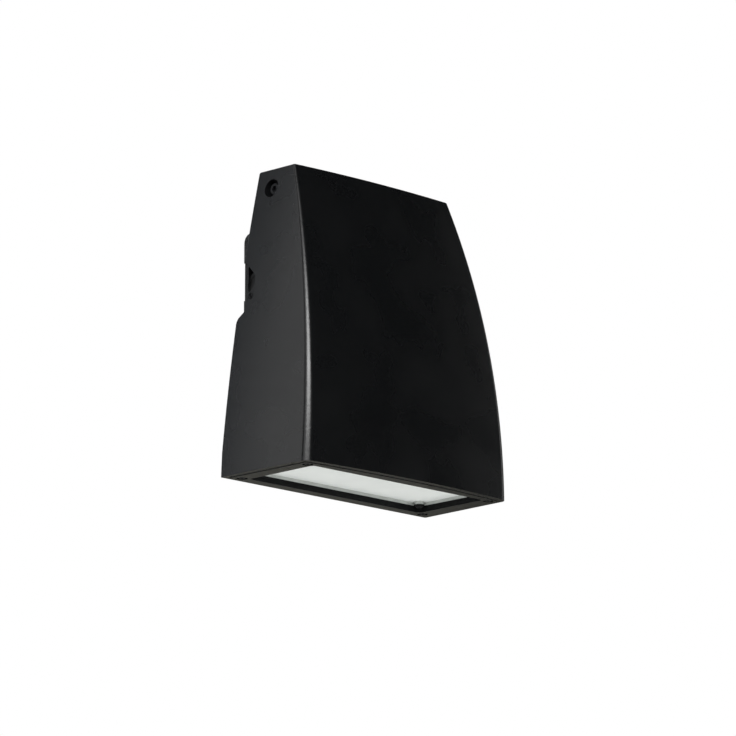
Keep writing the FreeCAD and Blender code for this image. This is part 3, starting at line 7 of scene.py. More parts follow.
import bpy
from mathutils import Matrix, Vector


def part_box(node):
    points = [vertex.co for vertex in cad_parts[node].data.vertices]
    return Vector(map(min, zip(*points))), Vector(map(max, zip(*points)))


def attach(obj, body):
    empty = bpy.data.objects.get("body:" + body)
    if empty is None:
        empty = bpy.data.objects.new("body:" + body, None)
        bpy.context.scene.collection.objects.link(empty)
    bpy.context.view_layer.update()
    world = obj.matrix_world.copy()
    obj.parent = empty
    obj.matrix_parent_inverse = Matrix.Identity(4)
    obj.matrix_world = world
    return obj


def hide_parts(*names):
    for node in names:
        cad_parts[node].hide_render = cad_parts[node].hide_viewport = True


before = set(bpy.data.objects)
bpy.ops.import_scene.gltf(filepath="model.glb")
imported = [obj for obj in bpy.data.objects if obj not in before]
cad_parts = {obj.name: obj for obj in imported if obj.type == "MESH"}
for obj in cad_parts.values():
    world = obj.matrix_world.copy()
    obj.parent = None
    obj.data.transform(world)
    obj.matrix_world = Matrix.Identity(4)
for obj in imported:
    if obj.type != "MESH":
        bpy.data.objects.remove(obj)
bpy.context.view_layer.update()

import math
from collections import namedtuple

import bmesh
import bpy
import numpy as np
from bpy.props import FloatProperty, FloatVectorProperty, IntProperty, PointerProperty
from bpy.types import Operator, Panel, PropertyGroup
from mathutils import Matrix, Vector

bl_info = {
    "name": "Wall pack light",
    "version": (1, 0, 0),
    "blender": (4, 5, 0),
    "location": "3D View > Sidebar > Wall pack",
    "description": "Finishes, turned hardware and a studio for an outdoor wall light",
    "category": "Object",
}

MM = 0.001

# Screws: the head's radius and height, the shank's radius, and the socket's width and depth as
# shares of the head's.
Screw = namedtuple("Screw", "head tall shank socket deep")
LENS_SCREW = Screw(3.5 * MM, 1.6 * MM, 2.0 * MM, 0.42, 0.6)
DOOR_SCREW = Screw(4.0 * MM, 1.8 * MM, 2.0 * MM, 0.42, 0.6)
HINGE_SCREW = Screw(5.0 * MM, 6.0 * MM, 3.0 * MM, 0.58, 0.5)
NUT_REACH = 7.0 * MM        # from the hinge nuts' outer faces in to the ends of the hinge screws
KNURL_DEPTH = 0.018         # share of a hinge screw's head
CONNECTOR_RIB_DEPTH = 0.05  # share of a wire connector's radius
GLAND_RIB_DEPTH = 0.03      # share of a gland cap's radius

# The dull box in the door frame, which takes in the lens opening's walls, starts this far inside
# the lens gasket's outline and this far above the frame's underside.
OPENING_INSET = 1.9 * MM
OPENING_EDGE = 0.15 * MM

DOWN = (0, 0, -1)
RIGHT = (1, 0, 0)
MERGED = 1e-6               # points closer than this become one
SHARP = math.radians(28)    # an edge that turns more than this stays sharp

WIRE_BLACK = "#18181a"
WIRE_WHITE = "#d9d8d2"
WIRE_RED = "#a81f1b"
EARTH_GREEN = "#2f7d3c"

# Sockets of a colour Mix node.
MIX_FACTOR, MIX_FIRST, MIX_SECOND, MIX_RESULT = 0, 6, 7, 2

# Camera: where it stands, its own axes, and a long lens on a full-frame sensor in millimetres.
EYE = (-2.862, -2.958, -1.010)
EYE_RIGHT = (0.7124, -0.7017, 0.0)
EYE_UP = (-0.1597, -0.1621, 0.9738)
EYE_AHEAD = (0.6833, 0.6937, 0.2276)
LENS_LENGTH = 244.57
SENSOR_WIDTH = 36.0
FAR = 100.0

FLOOR_LEVEL = -2.4
FLOOR_HALF = 30.0

# Cards that only reflections see: name, middle, the place each faces, width, height and finish.
CARDS = (
    # Keeps the bowed front dark.
    ("flag_front", (0.37, -0.83, 0.62), (0, -0.05, 0.02), 1.98, 2.4, "black"),
    # Ends the light band on the side of the front left edge.
    ("flag_left", (-0.9, 0.04, 0.3), (-0.1, -0.03, -0.02), 0.34, 1.5, "black"),
    # Lets the left side darken upwards and to the rear.
    ("flag_side", (-0.11, 0.25, 0.02), (0.095, 0.042, -0.048), 0.4, 0.9, "pale"),
    # Greys the underside of the door frame.
    ("flag_below", (2.3, 2.3, -1.1), (0, 0, -0.16), 7.0, 2.2, "grey"),
    # Darkens the rim at the front right edge.
    ("flag_right", (1.5, 0.5, 0.45), (0.1, -0.05, 0), 1.5, 2.2, "black"),
)

# Soft boxes: direction from the object's middle, distance, width and height.
KEY_BOX = ((-0.58, -0.66, 0.42), 2.6, 1.9, 0.8)
FILL_BOX = ((-0.95, 0.1, 0.5), 3.2, 2.4, 2.0)


def linear(code):
    """sRGB hex to the linear colour Blender works in, by the sRGB curve's two branches."""
    parts = np.array([int(code[i:i + 2], 16) / 255 for i in (1, 3, 5)])
    curved = np.where(parts <= 0.04045, parts / 12.92, ((parts + 0.055) / 1.055) ** 2.4)
    return tuple(float(v) for v in curved)


def rgba(colour):
    """A colour property or triple with full alpha."""
    return (*tuple(colour)[:3], 1.0)


def times(colour, factor):
    """A colour made darker or lighter, up to full strength."""
    return [min(1.0, v * factor) for v in colour]


# ------------------------------------------------------------------ what a user would change


def colour_prop(name, code, words):
    """A colour with its default as sRGB hex."""
    return FloatVectorProperty(name=name, description=words, subtype="COLOR", size=3, min=0,
                               max=1, default=linear(code))


def length_prop(name, default, low, high, words):
    """A length with its default and limits in millimetres."""
    return FloatProperty(name=name, description=words, default=default * MM, min=low * MM,
                         max=high * MM, unit="LENGTH", precision=5)


def power_prop(name, default, words):
    """A lamp's power in watts."""
    return FloatProperty(name=name, description=words, default=default, min=0, unit="POWER")


class WallPackFinishes(PropertyGroup):
    coat: colour_prop("Powder coat", "#0b0c0d", "Satin black powder coat on the castings")
    lens: colour_prop("Lens", "#f3f7f5", "Frosted polycarbonate lens")
    black_steel: colour_prop("Black screws", "#1d1e20", "Black oxide on the outer screws")
    zinc: colour_prop("Zinc plate", "#c3c6c9", "Zinc plate on the inner screws and the bracket")
    jacket: colour_prop("Cable jacket", "#19191a", "Rubber jacket of the cable")
    grain: length_prop("Coat grain", 0.9, 0.1, 5, "Size of the powder coat's grain")


class WallPackHardware(PropertyGroup):
    dome: length_prop("Dome rise", 0.8, 0.1, 1, "Rise of a door or lens screw's head over its rim")
    chamfer: length_prop("Head chamfer", 0.5, 0.1, 1, "Broken edge round each screw head")
    knurls: IntProperty(name="Knurls", description="Knurls round a hinge screw's head",
                        default=36, min=12, max=60)
    ribs: IntProperty(name="Ribs", description="Ribs round a wire connector and a gland's cap",
                      default=16, min=6, max=30)


class WallPackStudio(PropertyGroup):
    key: power_prop("Key power", 66.0, "Wide soft box that the front left edge mirrors")
    fill: power_prop("Fill power", 6.0, "Large soft box from the left")
    floor: colour_prop("Floor", "#f4f4f2", "Plain pale floor")
    ambient: FloatProperty(name="Ambient", description="Even light from all round", default=1.0,
                           min=0, max=2)


# ------------------------------------------------------------------ node helper and materials


def node(tree, kind, inputs=None, links=None, **settings):
    """Adds one node: settings on it, values on its inputs and links from other nodes' outputs."""
    made = tree.nodes.new(kind)
    for name, value in settings.items():
        setattr(made, name, value)
    for name, value in (inputs or {}).items():
        made.inputs[name].default_value = value
    for name, source in (links or {}).items():
        tree.links.new(source, made.inputs[name])
    return made


def blank(name):
    """A new node material and its tree, with Object coordinates ready."""
    material = bpy.data.materials.new(name)
    material.use_nodes = True
    tree = material.node_tree
    tree.nodes.clear()
    place = node(tree, "ShaderNodeTexCoord").outputs["Object"]
    return material, tree, place


def speckle(size, detail=2.0, rough=0.5):
    """Settings of a noise whose features measure about `size` metres."""
    return {"Scale": 1 / size, "Detail": detail, "Roughness": rough}


def ends(low, high, start=0.3, end=0.7):
    """Settings that map a noise's useful range, or start..end, to low..high."""
    return {"From Min": start, "From Max": end, "To Min": low, "To Max": high}


def within(tree, place, low, high):
    """1 inside an upright box and 0 outside: each coordinate compared with the box's middle."""
    axes = node(tree, "ShaderNodeSeparateXYZ", links={"Vector": place}).outputs
    inside = None
    for axis, start, end in zip(axes, low, high):
        hit = node(tree, "ShaderNodeMath", {1: (start + end) / 2, 2: (end - start) / 2},
                   {0: axis}, operation="COMPARE").outputs[0]
        if inside is not None:
            hit = node(tree, "ShaderNodeMath", links={0: inside, 1: hit},
                       operation="MULTIPLY").outputs[0]
        inside = hit
    return inside


def finish(tree, pattern, dark, light, relief, strength, height, values, links=None):
    """What the finishes end with: two colours mixed by a pattern from 0 to 1, a bump of a relief
    of some height, the shader and the output."""
    tone = node(tree, "ShaderNodeMix", {MIX_FIRST: rgba(dark), MIX_SECOND: rgba(light)},
                {MIX_FACTOR: pattern}, data_type="RGBA").outputs[MIX_RESULT]
    bump = node(tree, "ShaderNodeBump", {"Strength": strength, "Distance": height},
                {"Height": relief}).outputs["Normal"]
    shader = node(tree, "ShaderNodeBsdfPrincipled", values,
                  {"Base Color": tone, "Normal": bump, **(links or {})}).outputs["BSDF"]
    node(tree, "ShaderNodeOutputMaterial", links={"Surface": shader})


def powder_coat(name, colour, grain, rough=0.27, thin=None):
    """Polyester powder coat over a die casting, sprayed and baked: satin black, with a fine orange
    peel about a grain apart and slow drifts of sheen a hand's width apart. The real grain is near
    0.3 mm, too fine to show here, so it is drawn about three times as coarse. Inside a `thin` box,
    given by two corners, less powder reaches the walls: there the coat is dull and nearly without
    sheen."""
    material, tree, place = blank(name)
    fine = node(tree, "ShaderNodeTexNoise", speckle(grain, 3.0, 0.55), {"Vector": place}).outputs[0]
    drift = node(tree, "ShaderNodeTexNoise", speckle(45 * MM), {"Vector": place}).outputs[0]
    tone = node(tree, "ShaderNodeMapRange", ends(0.0, 1.0), {"Value": fine}).outputs[0]
    sheen = node(tree, "ShaderNodeMapRange", ends(rough - 0.03, rough + 0.05),
                 {"Value": drift}).outputs[0]
    links = {"Roughness": sheen}
    if thin:
        dull = within(tree, place, *thin)
        links["Roughness"] = node(tree, "ShaderNodeMath", {1: 0.4}, {0: dull, 2: sheen},
                                  operation="MULTIPLY_ADD").outputs[0]
        links["Specular IOR Level"] = node(tree, "ShaderNodeMapRange", ends(0.5, 0.12, 0.0, 1.0),
                                           {"Value": dull}).outputs[0]
    finish(tree, tone, times(colour, 0.82), times(colour, 1.2), relief=fine, strength=0.16,
           height=0.12 * MM, values={"IOR": 1.5, "Metallic": 0.0}, links=links)
    return material


def frosted_polycarbonate(name, colour):
    """Frosted polycarbonate, extruded and blasted: a milky off-white sheet with a dull, finely
    pitted face and a very slight cloudiness."""
    material, tree, place = blank(name)
    cloud = node(tree, "ShaderNodeTexNoise", speckle(30 * MM), {"Vector": place}).outputs[0]
    pits = node(tree, "ShaderNodeTexNoise", speckle(0.6 * MM), {"Vector": place}).outputs[0]
    tone = node(tree, "ShaderNodeMapRange", ends(0.0, 1.0), {"Value": cloud}).outputs[0]
    finish(tree, tone, times(colour, 0.96), colour, relief=pits, strength=0.1,
           height=0.05 * MM, values={"IOR": 1.585, "Roughness": 0.55, "Metallic": 0.0})
    return material


def moulded(name, colour, rough=0.45, grain=0.5 * MM, strength=0.08):
    """Injection-moulded or pressed plastic and rubber: one colour, very slightly uneven over some
    8 mm, with a slight tool texture."""
    material, tree, place = blank(name)
    skin = node(tree, "ShaderNodeTexNoise", speckle(grain), {"Vector": place}).outputs[0]
    flow = node(tree, "ShaderNodeTexNoise", speckle(8 * MM), {"Vector": place}).outputs[0]
    tone = node(tree, "ShaderNodeMapRange", ends(0.0, 1.0), {"Value": flow}).outputs[0]
    sheen = node(tree, "ShaderNodeMapRange", ends(rough - 0.05, rough + 0.05),
                 {"Value": skin}).outputs[0]
    finish(tree, tone, times(colour, 0.9), times(colour, 1.06), relief=skin, strength=strength,
           height=0.08 * MM, values={"IOR": 1.5, "Metallic": 0.0}, links={"Roughness": sheen})
    return material


def rolled_metal(name, colour, rough):
    """Rolled or plated sheet and turned parts: fine lines drawn out fourteen times along the
    rolling direction, which break the reflection into a soft streak, over a 4 mm spangle."""
    material, tree, place = blank(name)
    along = node(tree, "ShaderNodeMapping", {"Scale": (1.0, 14.0, 14.0)}, {"Vector": place})
    lines = node(tree, "ShaderNodeTexNoise", speckle(5 * MM, 4.0, 0.6),
                 {"Vector": along.outputs["Vector"]}).outputs[0]
    spangle = node(tree, "ShaderNodeTexVoronoi", {"Scale": 1 / (4 * MM)},
                   {"Vector": place}).outputs["Distance"]
    tone = node(tree, "ShaderNodeMapRange", ends(0.0, 1.0, 0.0, 0.8), {"Value": spangle}).outputs[0]
    sheen = node(tree, "ShaderNodeMapRange", ends(rough - 0.08, rough + 0.1),
                 {"Value": lines}).outputs[0]
    finish(tree, tone, times(colour, 0.9), colour, relief=lines, strength=0.12,
           height=0.03 * MM, values={"Metallic": 1.0}, links={"Roughness": sheen})
    return material


def filmed_steel(name, colour, grain, shades, sheens, strength, values):
    """A thin dark film on steel: one fine pattern gives its shades, its two roughnesses and its
    relief of a few hundredths of a millimetre."""
    material, tree, place = blank(name)
    marks = node(tree, "ShaderNodeTexNoise", speckle(grain, 3.0), {"Vector": place}).outputs[0]
    tone = node(tree, "ShaderNodeMapRange", ends(0.0, 1.0), {"Value": marks}).outputs[0]
    sheen = node(tree, "ShaderNodeMapRange", ends(*sheens), {"Value": marks}).outputs[0]
    dark, light = shades
    finish(tree, tone, times(colour, dark), times(colour, light), relief=marks,
           strength=strength, height=0.03 * MM, values=values, links={"Roughness": sheen})
    return material


def phosphate(name, colour):
    """Black phosphate on small steel screws: a matt crystalline film that hardly reflects."""
    return filmed_steel(name, colour, grain=0.4 * MM, shades=(0.7, 1.3), sheens=(0.7, 0.85),
                        strength=0.2, values={"Metallic": 0.0, "Specular IOR Level": 0.2})


def black_oxide(name, colour):
    """Black oxide on machined steel: a slightly oily film with fine turning marks."""
    return filmed_steel(name, colour, grain=0.7 * MM, shades=(0.8, 1.5), sheens=(0.32, 0.46),
                        strength=0.12, values={"Metallic": 0.55})


def banded(name, axis, first, *stops):
    """Extruded insulation of single wires side by side, with a slight sheen: the first colour up
    to the first stop, and each stop's colour from its place along the axis on."""
    material, tree, place = blank(name)
    along = node(tree, "ShaderNodeSeparateXYZ", links={"Vector": place}).outputs[axis]
    values, before = {MIX_FIRST: rgba(linear(first))}, {}
    for edge, code in stops:
        past = node(tree, "ShaderNodeMath", {1: edge}, {0: along},
                    operation="GREATER_THAN").outputs[0]
        colour = node(tree, "ShaderNodeMix", {**values, MIX_SECOND: rgba(linear(code))},
                      {MIX_FACTOR: past, **before}, data_type="RGBA").outputs[MIX_RESULT]
        values, before = {}, {MIX_FIRST: colour}
    streaks = node(tree, "ShaderNodeTexNoise", speckle(1.5 * MM), {"Vector": place}).outputs[0]
    sheen = node(tree, "ShaderNodeMapRange", ends(0.34, 0.46), {"Value": streaks}).outputs[0]
    shader = node(tree, "ShaderNodeBsdfPrincipled", {"IOR": 1.5},
                  {"Base Color": colour, "Roughness": sheen}).outputs["BSDF"]
    node(tree, "ShaderNodeOutputMaterial", links={"Surface": shader})
    return material


def board(name, colour, shade=0.95, patch=0.3, kind="ShaderNodeBsdfDiffuse", values=None,
          socket="Color"):
    """Matt board or paint of one colour, slightly darker in patches about `patch` metres wide."""
    material, tree, place = blank(name)
    patches = node(tree, "ShaderNodeTexNoise", speckle(patch), {"Vector": place}).outputs[0]
    factor = node(tree, "ShaderNodeMapRange", ends(0.0, 1.0), {"Value": patches}).outputs[0]
    tone = node(tree, "ShaderNodeMix",
                {MIX_FIRST: rgba(times(colour, shade)), MIX_SECOND: rgba(colour)},
                {MIX_FACTOR: factor}, data_type="RGBA").outputs[MIX_RESULT]
    shader = node(tree, kind, values, {socket: tone}).outputs["BSDF"]
    node(tree, "ShaderNodeOutputMaterial", links={"Surface": shader})
    return material


def dress(material, *names):
    """Gives CAD nodes one material."""
    for name in names:
        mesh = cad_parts[name].data
        mesh.materials.clear()
        mesh.materials.append(material)


# ------------------------------------------------------------------ surfaces worked out on grids


def hexagon(angle):
    """A regular hexagon's radius by angle, corners at 1: cos 30 over the cosine of the angle from
    the middle of its side."""
    half = math.pi / 6
    return math.cos(half) / np.cos((angle + half) % (2 * half) - half)


def turned(rows, sides=72, ribs=0, depth=0.0):
    """A turned shape on a grid of angle by row. Each row holds radius, height along the axis, how
    hexagonal it is and how ribbed it is; radius times (1 - hex + hex * hexagon(angle)) times
    (1 + rib * depth * cos(ribs * angle)) swept round the axis."""
    rows = np.asarray(rows, float)
    angle = np.linspace(0, 2 * math.pi, sides, endpoint=False)[None, :]
    radius, height, six, rib = (rows[:, i][:, None] for i in range(4))
    ribbed = 1 + rib * depth * np.cos(ribs * angle)
    reach = radius * (1 - six + six * hexagon(angle)) * ribbed
    return np.stack([reach * np.cos(angle), reach * np.sin(angle), height + 0 * angle], axis=-1)


def toward(axis):
    """A rotation that takes +Z to the axis."""
    return np.array(Vector((0, 0, 1)).rotation_difference(Vector(axis)).to_matrix())


def grid_faces(rows, sides, closed):
    """The quads of a grid of points, row by row; `closed` joins each row's end to its start."""
    i = np.arange(rows - 1)[:, None]
    j = np.arange(sides if closed else sides - 1)[None, :]
    after = (j + 1) % sides
    corners = [i * sides + j, i * sides + after, (i + 1) * sides + after, (i + 1) * sides + j]
    return np.stack(corners, axis=-1).reshape(-1, 4)


def piece(name, grids, material, body, stands_for):
    """One mesh from closed grids, each (points, place, axis): turned to its axis, moved to its
    place, its poles merged and its faces pointed outwards."""
    corners = []
    faces = []
    count = 0
    for points, place, axis in grids:
        placed = points.reshape(-1, 3) @ toward(axis).T + np.asarray(place, float)
        corners.append(placed)
        faces.append(grid_faces(*points.shape[:2], True) + count)
        count += len(placed)
    mesh = bpy.data.meshes.new(name)
    mesh.from_pydata(np.concatenate(corners).tolist(), [], np.concatenate(faces).tolist())
    merged = bmesh.new()
    merged.from_mesh(mesh)
    bmesh.ops.remove_doubles(merged, verts=merged.verts, dist=MERGED)
    bmesh.ops.recalc_face_normals(merged, faces=merged.faces)
    merged.to_mesh(mesh)
    merged.free()
    mesh.shade_smooth()
    mesh.set_sharp_from_angle(angle=SHARP)
    mesh.materials.append(material)
    made = bpy.data.objects.new(name, mesh)
    bpy.context.scene.collection.objects.link(made)
    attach(made, body)
    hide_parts(*stands_for)


def socket_screw(screw, length, chamfer, rise=0.0, knurl=0.0):
    """Rows of a hexagon-socket screw, from the socket's floor over the head and down the shank.
    The head's seat is at height 0 and the shank runs to -length. The top is an arc, lower than its
    middle by rise * t squared at t times the head's radius, with a small lip round the socket."""
    head, tall, shank = screw.head, screw.tall, screw.shank
    key = head * screw.socket
    floor = tall - tall * screw.deep
    lip = chamfer * 0.2
    rim = tall - rise
    rows = [(0, floor, 0, 0), (key, floor, 1, 0), (key, tall, 1, 0),
            (key + chamfer, tall + lip, 0, 0)]
    crown = np.linspace((key + chamfer) / head + 0.05, 1 - chamfer / head, 6)
    rows += [(head * t, tall - rise * t * t, 0, 0) for t in crown]
    rows += [(head, rim - chamfer, 0, knurl), (head, chamfer, 0, knurl),
             (head - chamfer / 2, 0, 0, 0), (shank, 0, 0, 0), (shank, -length + chamfer, 0, 0),
             (shank - chamfer, -length, 0, 0), (0, -length, 0, 0)]
    return rows


def wire_connector(radius, length):
    """Rows of a twist-on wire connector, from the floor of its mouth over a smooth skirt and down
    a ribbed cone to its tip at -length: at t of its way the cone's radius is 0.93 - 0.33 t."""
    floor = -length * 0.3
    skirt = -3.2 * MM
    cone = length - 5.0 * MM
    rows = [(0, floor, 0, 0), (radius * 0.5, floor, 0, 0), (radius * 0.62, 0, 0, 0),
            (radius * 0.9, 0, 0, 0), (radius, -0.6 * MM, 0, 0), (radius * 0.99, -2.5 * MM, 0, 0),
            (radius * 0.93, skirt, 0, 1)]
    rows += [(radius * (0.93 - 0.33 * t), skirt - cone * t, 0, 1 - t * 0.4)
             for t in np.linspace(0.1, 1, 9)]
    rows += [(radius * 0.5, -length + 0.5 * MM, 0, 0), (radius * 0.3, -length, 0, 0),
             (0, -length, 0, 0)]
    return rows


def gland(flats):
    """Rows of a cable gland, out of its bore over the thread, the hexagon and the ribbed cap and
    back into the bore: the cap's domed end narrows by 2 mm times t squared."""
    bore, thread, cap, dome = 3.35 * MM, 6.0 * MM, 7.5 * MM, 7.3 * MM
    flats_start, flats_end, cap_end, tip = 6 * MM, 11 * MM, 17 * MM, 21 * MM
    edge = 0.5 * MM
    broken = 0.6 * MM
    rows = [(bore, 0, 0, 0), (thread - broken, 0, 0, 0), (thread, broken, 0, 0),
            (thread, flats_start, 0, 0), (flats - edge, flats_start, 1, 0),
            (flats, flats_start + edge, 1, 0), (flats, flats_end - edge, 1, 0),
            (flats - edge, flats_end, 1, 0), (cap - 0.3 * MM, flats_end, 0, 0),
            (cap, flats_end + 0.4 * MM, 0, 1), (cap, cap_end - broken, 0, 1),
            (dome, cap_end, 0, 0.5)]
    rows += [(dome - 2.0 * MM * t * t, cap_end + (tip - cap_end) * t, 0, 0)
             for t in np.linspace(0.2, 1, 6)]
    rows += [(bore + edge, tip, 0, 0), (bore, tip - edge, 0, 0), (bore, 0, 0, 0)]
    return rows


# ------------------------------------------------------------------ the stage's own things


def flat_sheet(name, middle, across, upward, wide, high, steps, material):
    """A sheet that belongs to the stage: its middle plus u times one axis and v times the other,
    on a grid."""
    u, v = np.meshgrid(np.linspace(-wide / 2, wide / 2, steps),
                       np.linspace(-high / 2, high / 2, steps), indexing="ij")
    points = np.array(middle) + u[..., None] * across + v[..., None] * upward
    mesh = bpy.data.meshes.new(name)
    faces = grid_faces(steps, steps, False)[:, ::-1]
    mesh.from_pydata(points.reshape(-1, 3).tolist(), [], faces.tolist())
    mesh.materials.append(material)
    made = bpy.data.objects.new(name, mesh)
    bpy.context.scene.collection.objects.link(made)
    return made


def card(name, middle, faces, wide, high, material):
    """A flat card that faces a place, seen only in reflections."""
    away = np.array((Vector(middle) - Vector(faces)).normalized())
    across = np.cross((0.0, 0.0, 1.0), away)
    across /= np.linalg.norm(across)
    made = flat_sheet(name, middle, across, np.cross(away, across), wide, high, 5, material)
    made.visible_camera = False


def lamp(scene, name, direction, distance, wide, high, power):
    """A soft box in a direction from the object's middle, facing it."""
    data = bpy.data.lights.new(name, "AREA")
    data.shape = "RECTANGLE"
    data.size = wide
    data.size_y = high
    data.energy = power
    made = bpy.data.objects.new(name, data)
    scene.collection.objects.link(made)
    away = Vector(direction).normalized()
    made.location = away * distance
    made.rotation_mode = "QUATERNION"
    made.rotation_quaternion = away.to_track_quat("Z", "Y")


# ------------------------------------------------------------------ operators


class WALLPACK_OT_castings(Operator):
    """Powder coat on the head, the door frame, the wall box and the conduit plugs, the plugs' coat
    painted darker as shade
    """
    bl_idname = "wallpack.castings"
    bl_label = "Coat the castings"

    def execute(self, context):
        look = context.scene.wallpack_finishes
        coat = tuple(look.coat)
        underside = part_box("door_frame")[0].z
        low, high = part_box("lens_gasket")
        thin = ((low.x + OPENING_INSET, low.y + OPENING_INSET, underside + OPENING_EDGE),
                (high.x - OPENING_INSET, high.y - OPENING_INSET, high.z))
        dress(powder_coat("powder coat, satin black, head", coat, look.grain), "housing")
        dress(powder_coat("powder coat, satin black, door", coat, look.grain, rough=0.3,
                          thin=thin),
              "door_frame")
        dress(powder_coat("powder coat, satin black, wall box", coat, look.grain, rough=0.5),
              "wall_box")
        # The plugs get the coat at 0.8 of its colour: painted shade for the recessed conduit bay
        # they sit in, not a different coat.
        dress(powder_coat("powder coat, satin black, plugs, painted darker for shade", times(coat, 0.8), look.grain,
                          rough=0.5),
              "conduit_plugs")
        return {"FINISHED"}


class WALLPACK_OT_lens(Operator):
    """Frosted lens, its gasket, the door's gasket and the foam against the wall"""
    bl_idname = "wallpack.lens"
    bl_label = "Finish the lens and the gaskets"

    def execute(self, context):
        look = context.scene.wallpack_finishes
        dress(frosted_polycarbonate("polycarbonate, frosted", tuple(look.lens)), "lens")
        dress(moulded("silicone rubber, black, moulded", linear("#151515"), rough=0.6),
              "door_gasket")
        dress(moulded("silicone rubber, pale grey, extruded", linear("#b4b8b5"), rough=0.55),
              "lens_gasket")
        dress(moulded("EPDM foam, black, cut", linear("#1b1b1c"), rough=0.85, grain=1.2 * MM,
                      strength=0.5),
              "wall_gasket")
        return {"FINISHED"}


class WALLPACK_OT_outer_screws(Operator):
    """Low domed lens and door screws, knurled hinge screws, and the lock screws' finish"""
    bl_idname = "wallpack.outer_screws"
    bl_label = "Turn the outer screws"

    def execute(self, context):
        look = context.scene.wallpack_finishes
        sizes = context.scene.wallpack_hardware
        steel = black_oxide("steel, black oxide, machined", tuple(look.black_steel))
        dull = phosphate("steel, black phosphate", times(look.black_steel, 0.5))

        for name, screw, metal in (("lens_screws", LENS_SCREW, dull),
                                   ("door_screws", DOOR_SCREW, steel)):
            low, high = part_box(name)
            shape = turned(socket_screw(screw, high.z - low.z - screw.tall, sizes.chamfer,
                                        sizes.dome))
            grids = [(shape, (x, y, low.z + screw.tall), DOWN)
                     for x in (low.x + screw.head, high.x - screw.head)
                     for y in (low.y + screw.head, high.y - screw.head)]
            piece(name + "_turned", grids, metal, "head", [name])

        low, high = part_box("hinge_screws")
        seat = high.x - HINGE_SCREW.tall
        length = seat - (abs(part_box("hinge_nuts")[1].x) - NUT_REACH)
        rows = socket_screw(HINGE_SCREW, length, sizes.chamfer, knurl=1.0)
        shape = turned(rows, 4 * sizes.knurls, sizes.knurls, KNURL_DEPTH)
        middle = ((low.y + high.y) / 2, (low.z + high.z) / 2)
        grids = [(shape, (side * seat, *middle), (side, 0, 0)) for side in (-1, 1)]
        piece("hinge_screws_turned", grids, steel, "head", ["hinge_screws"])
        dress(steel, "door_screws", "hinge_screws")
        dress(dull, "lock_screws", "lens_screws")
        return {"FINISHED"}


class WALLPACK_OT_hinge(Operator):
    """Nuts, washers, bronze bushes and friction discs of the hinge, and the plain screws"""
    bl_idname = "wallpack.hinge"
    bl_label = "Finish the hinge"

    def execute(self, context):
        look = context.scene.wallpack_finishes
        dress(rolled_metal("steel, zinc-plated, pressed", tuple(look.zinc), rough=0.3),
              "hinge_nuts", "hinge_washers", "plate_screws", "board_screws", "bracket_screws",
              "driver_screws")
        dress(rolled_metal("bronze, sintered, oiled", linear("#9b7748"), rough=0.4),
              "hinge_bushes")
        dress(moulded("friction fibre, pressed", linear("#4b4640"), rough=0.8, grain=0.8 * MM,
                      strength=0.4),
              "friction_discs")
        dress(rolled_metal("steel, green dyed, for earth screws", linear(EARTH_GREEN),
                           rough=0.35),
              "box_ground_screw", "head_ground_screw")
        return {"FINISHED"}


class WALLPACK_OT_wiring(Operator):
    """Cable, single wires, ribbed wire connectors and the ribbed cable gland"""
    bl_idname = "wallpack.wiring"
    bl_label = "Finish the wiring"

    def execute(self, context):
        look = context.scene.wallpack_finishes
        sizes = context.scene.wallpack_hardware
        dress(moulded("rubber, black cable jacket, extruded", tuple(look.jacket), rough=0.5),
              "box_cable", "head_cable")
        dress(moulded("silicone rubber, black, grommets", linear("#1c1c1c"), rough=0.6),
              "cable_grommet", "lead_grommet")
        nylon = moulded("nylon, black, moulded", linear("#161617"), rough=0.48)
        dress(nylon, "gland_lock_nut", "breather_vent", "cable_gland")

        # A colour starts between two wires: measured from the last wire's axis, from the first
        # wire's side, and half way.
        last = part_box("splice_wires")[1].x - 0.8 * MM
        dress(banded("wire insulation, by the splices", "X", WIRE_BLACK,
                     (last - 2.8 * MM, WIRE_WHITE), (last - 0.95 * MM, EARTH_GREEN)),
              "splice_wires")
        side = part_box("supply_wires")[0].x
        dress(banded("wire insulation, driver supply", "X", WIRE_BLACK,
                     (side + 2.2 * MM, WIRE_WHITE), (side + 5.1 * MM, EARTH_GREEN)),
              "supply_wires")
        low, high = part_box("light_board_leads")
        dress(banded("wire insulation, light board leads", "Y", WIRE_BLACK,
                     ((low.y + high.y) / 2, WIRE_RED)),
              "light_board_leads")

        low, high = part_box("wire_connectors")
        orange = moulded("polypropylene, orange, moulded", linear("#c8641b"), rough=0.35)
        radius = (high.y - low.y) / 2
        shape = turned(wire_connector(radius, high.x - low.x), 6 * sizes.ribs, sizes.ribs,
                       CONNECTOR_RIB_DEPTH)
        grids = [(shape, (high.x, (low.y + high.y) / 2, z), RIGHT)
                 for z in (low.z + radius, (low.z + high.z) / 2, high.z - radius)]
        piece("wire_connectors_ribbed", grids, orange, "wall_mount",
              ["wire_connectors"])
        dress(orange, "wire_connectors")

        low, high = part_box("cable_gland")
        shape = turned(gland((high.z - low.z) / 2), 6 * sizes.ribs, sizes.ribs, GLAND_RIB_DEPTH)
        start = (low.x, (low.y + high.y) / 2, (low.z + high.z) / 2)
        piece("cable_gland_ribbed", [(shape, start, RIGHT)], nylon, "head",
              ["cable_gland"])
        return {"FINISHED"}


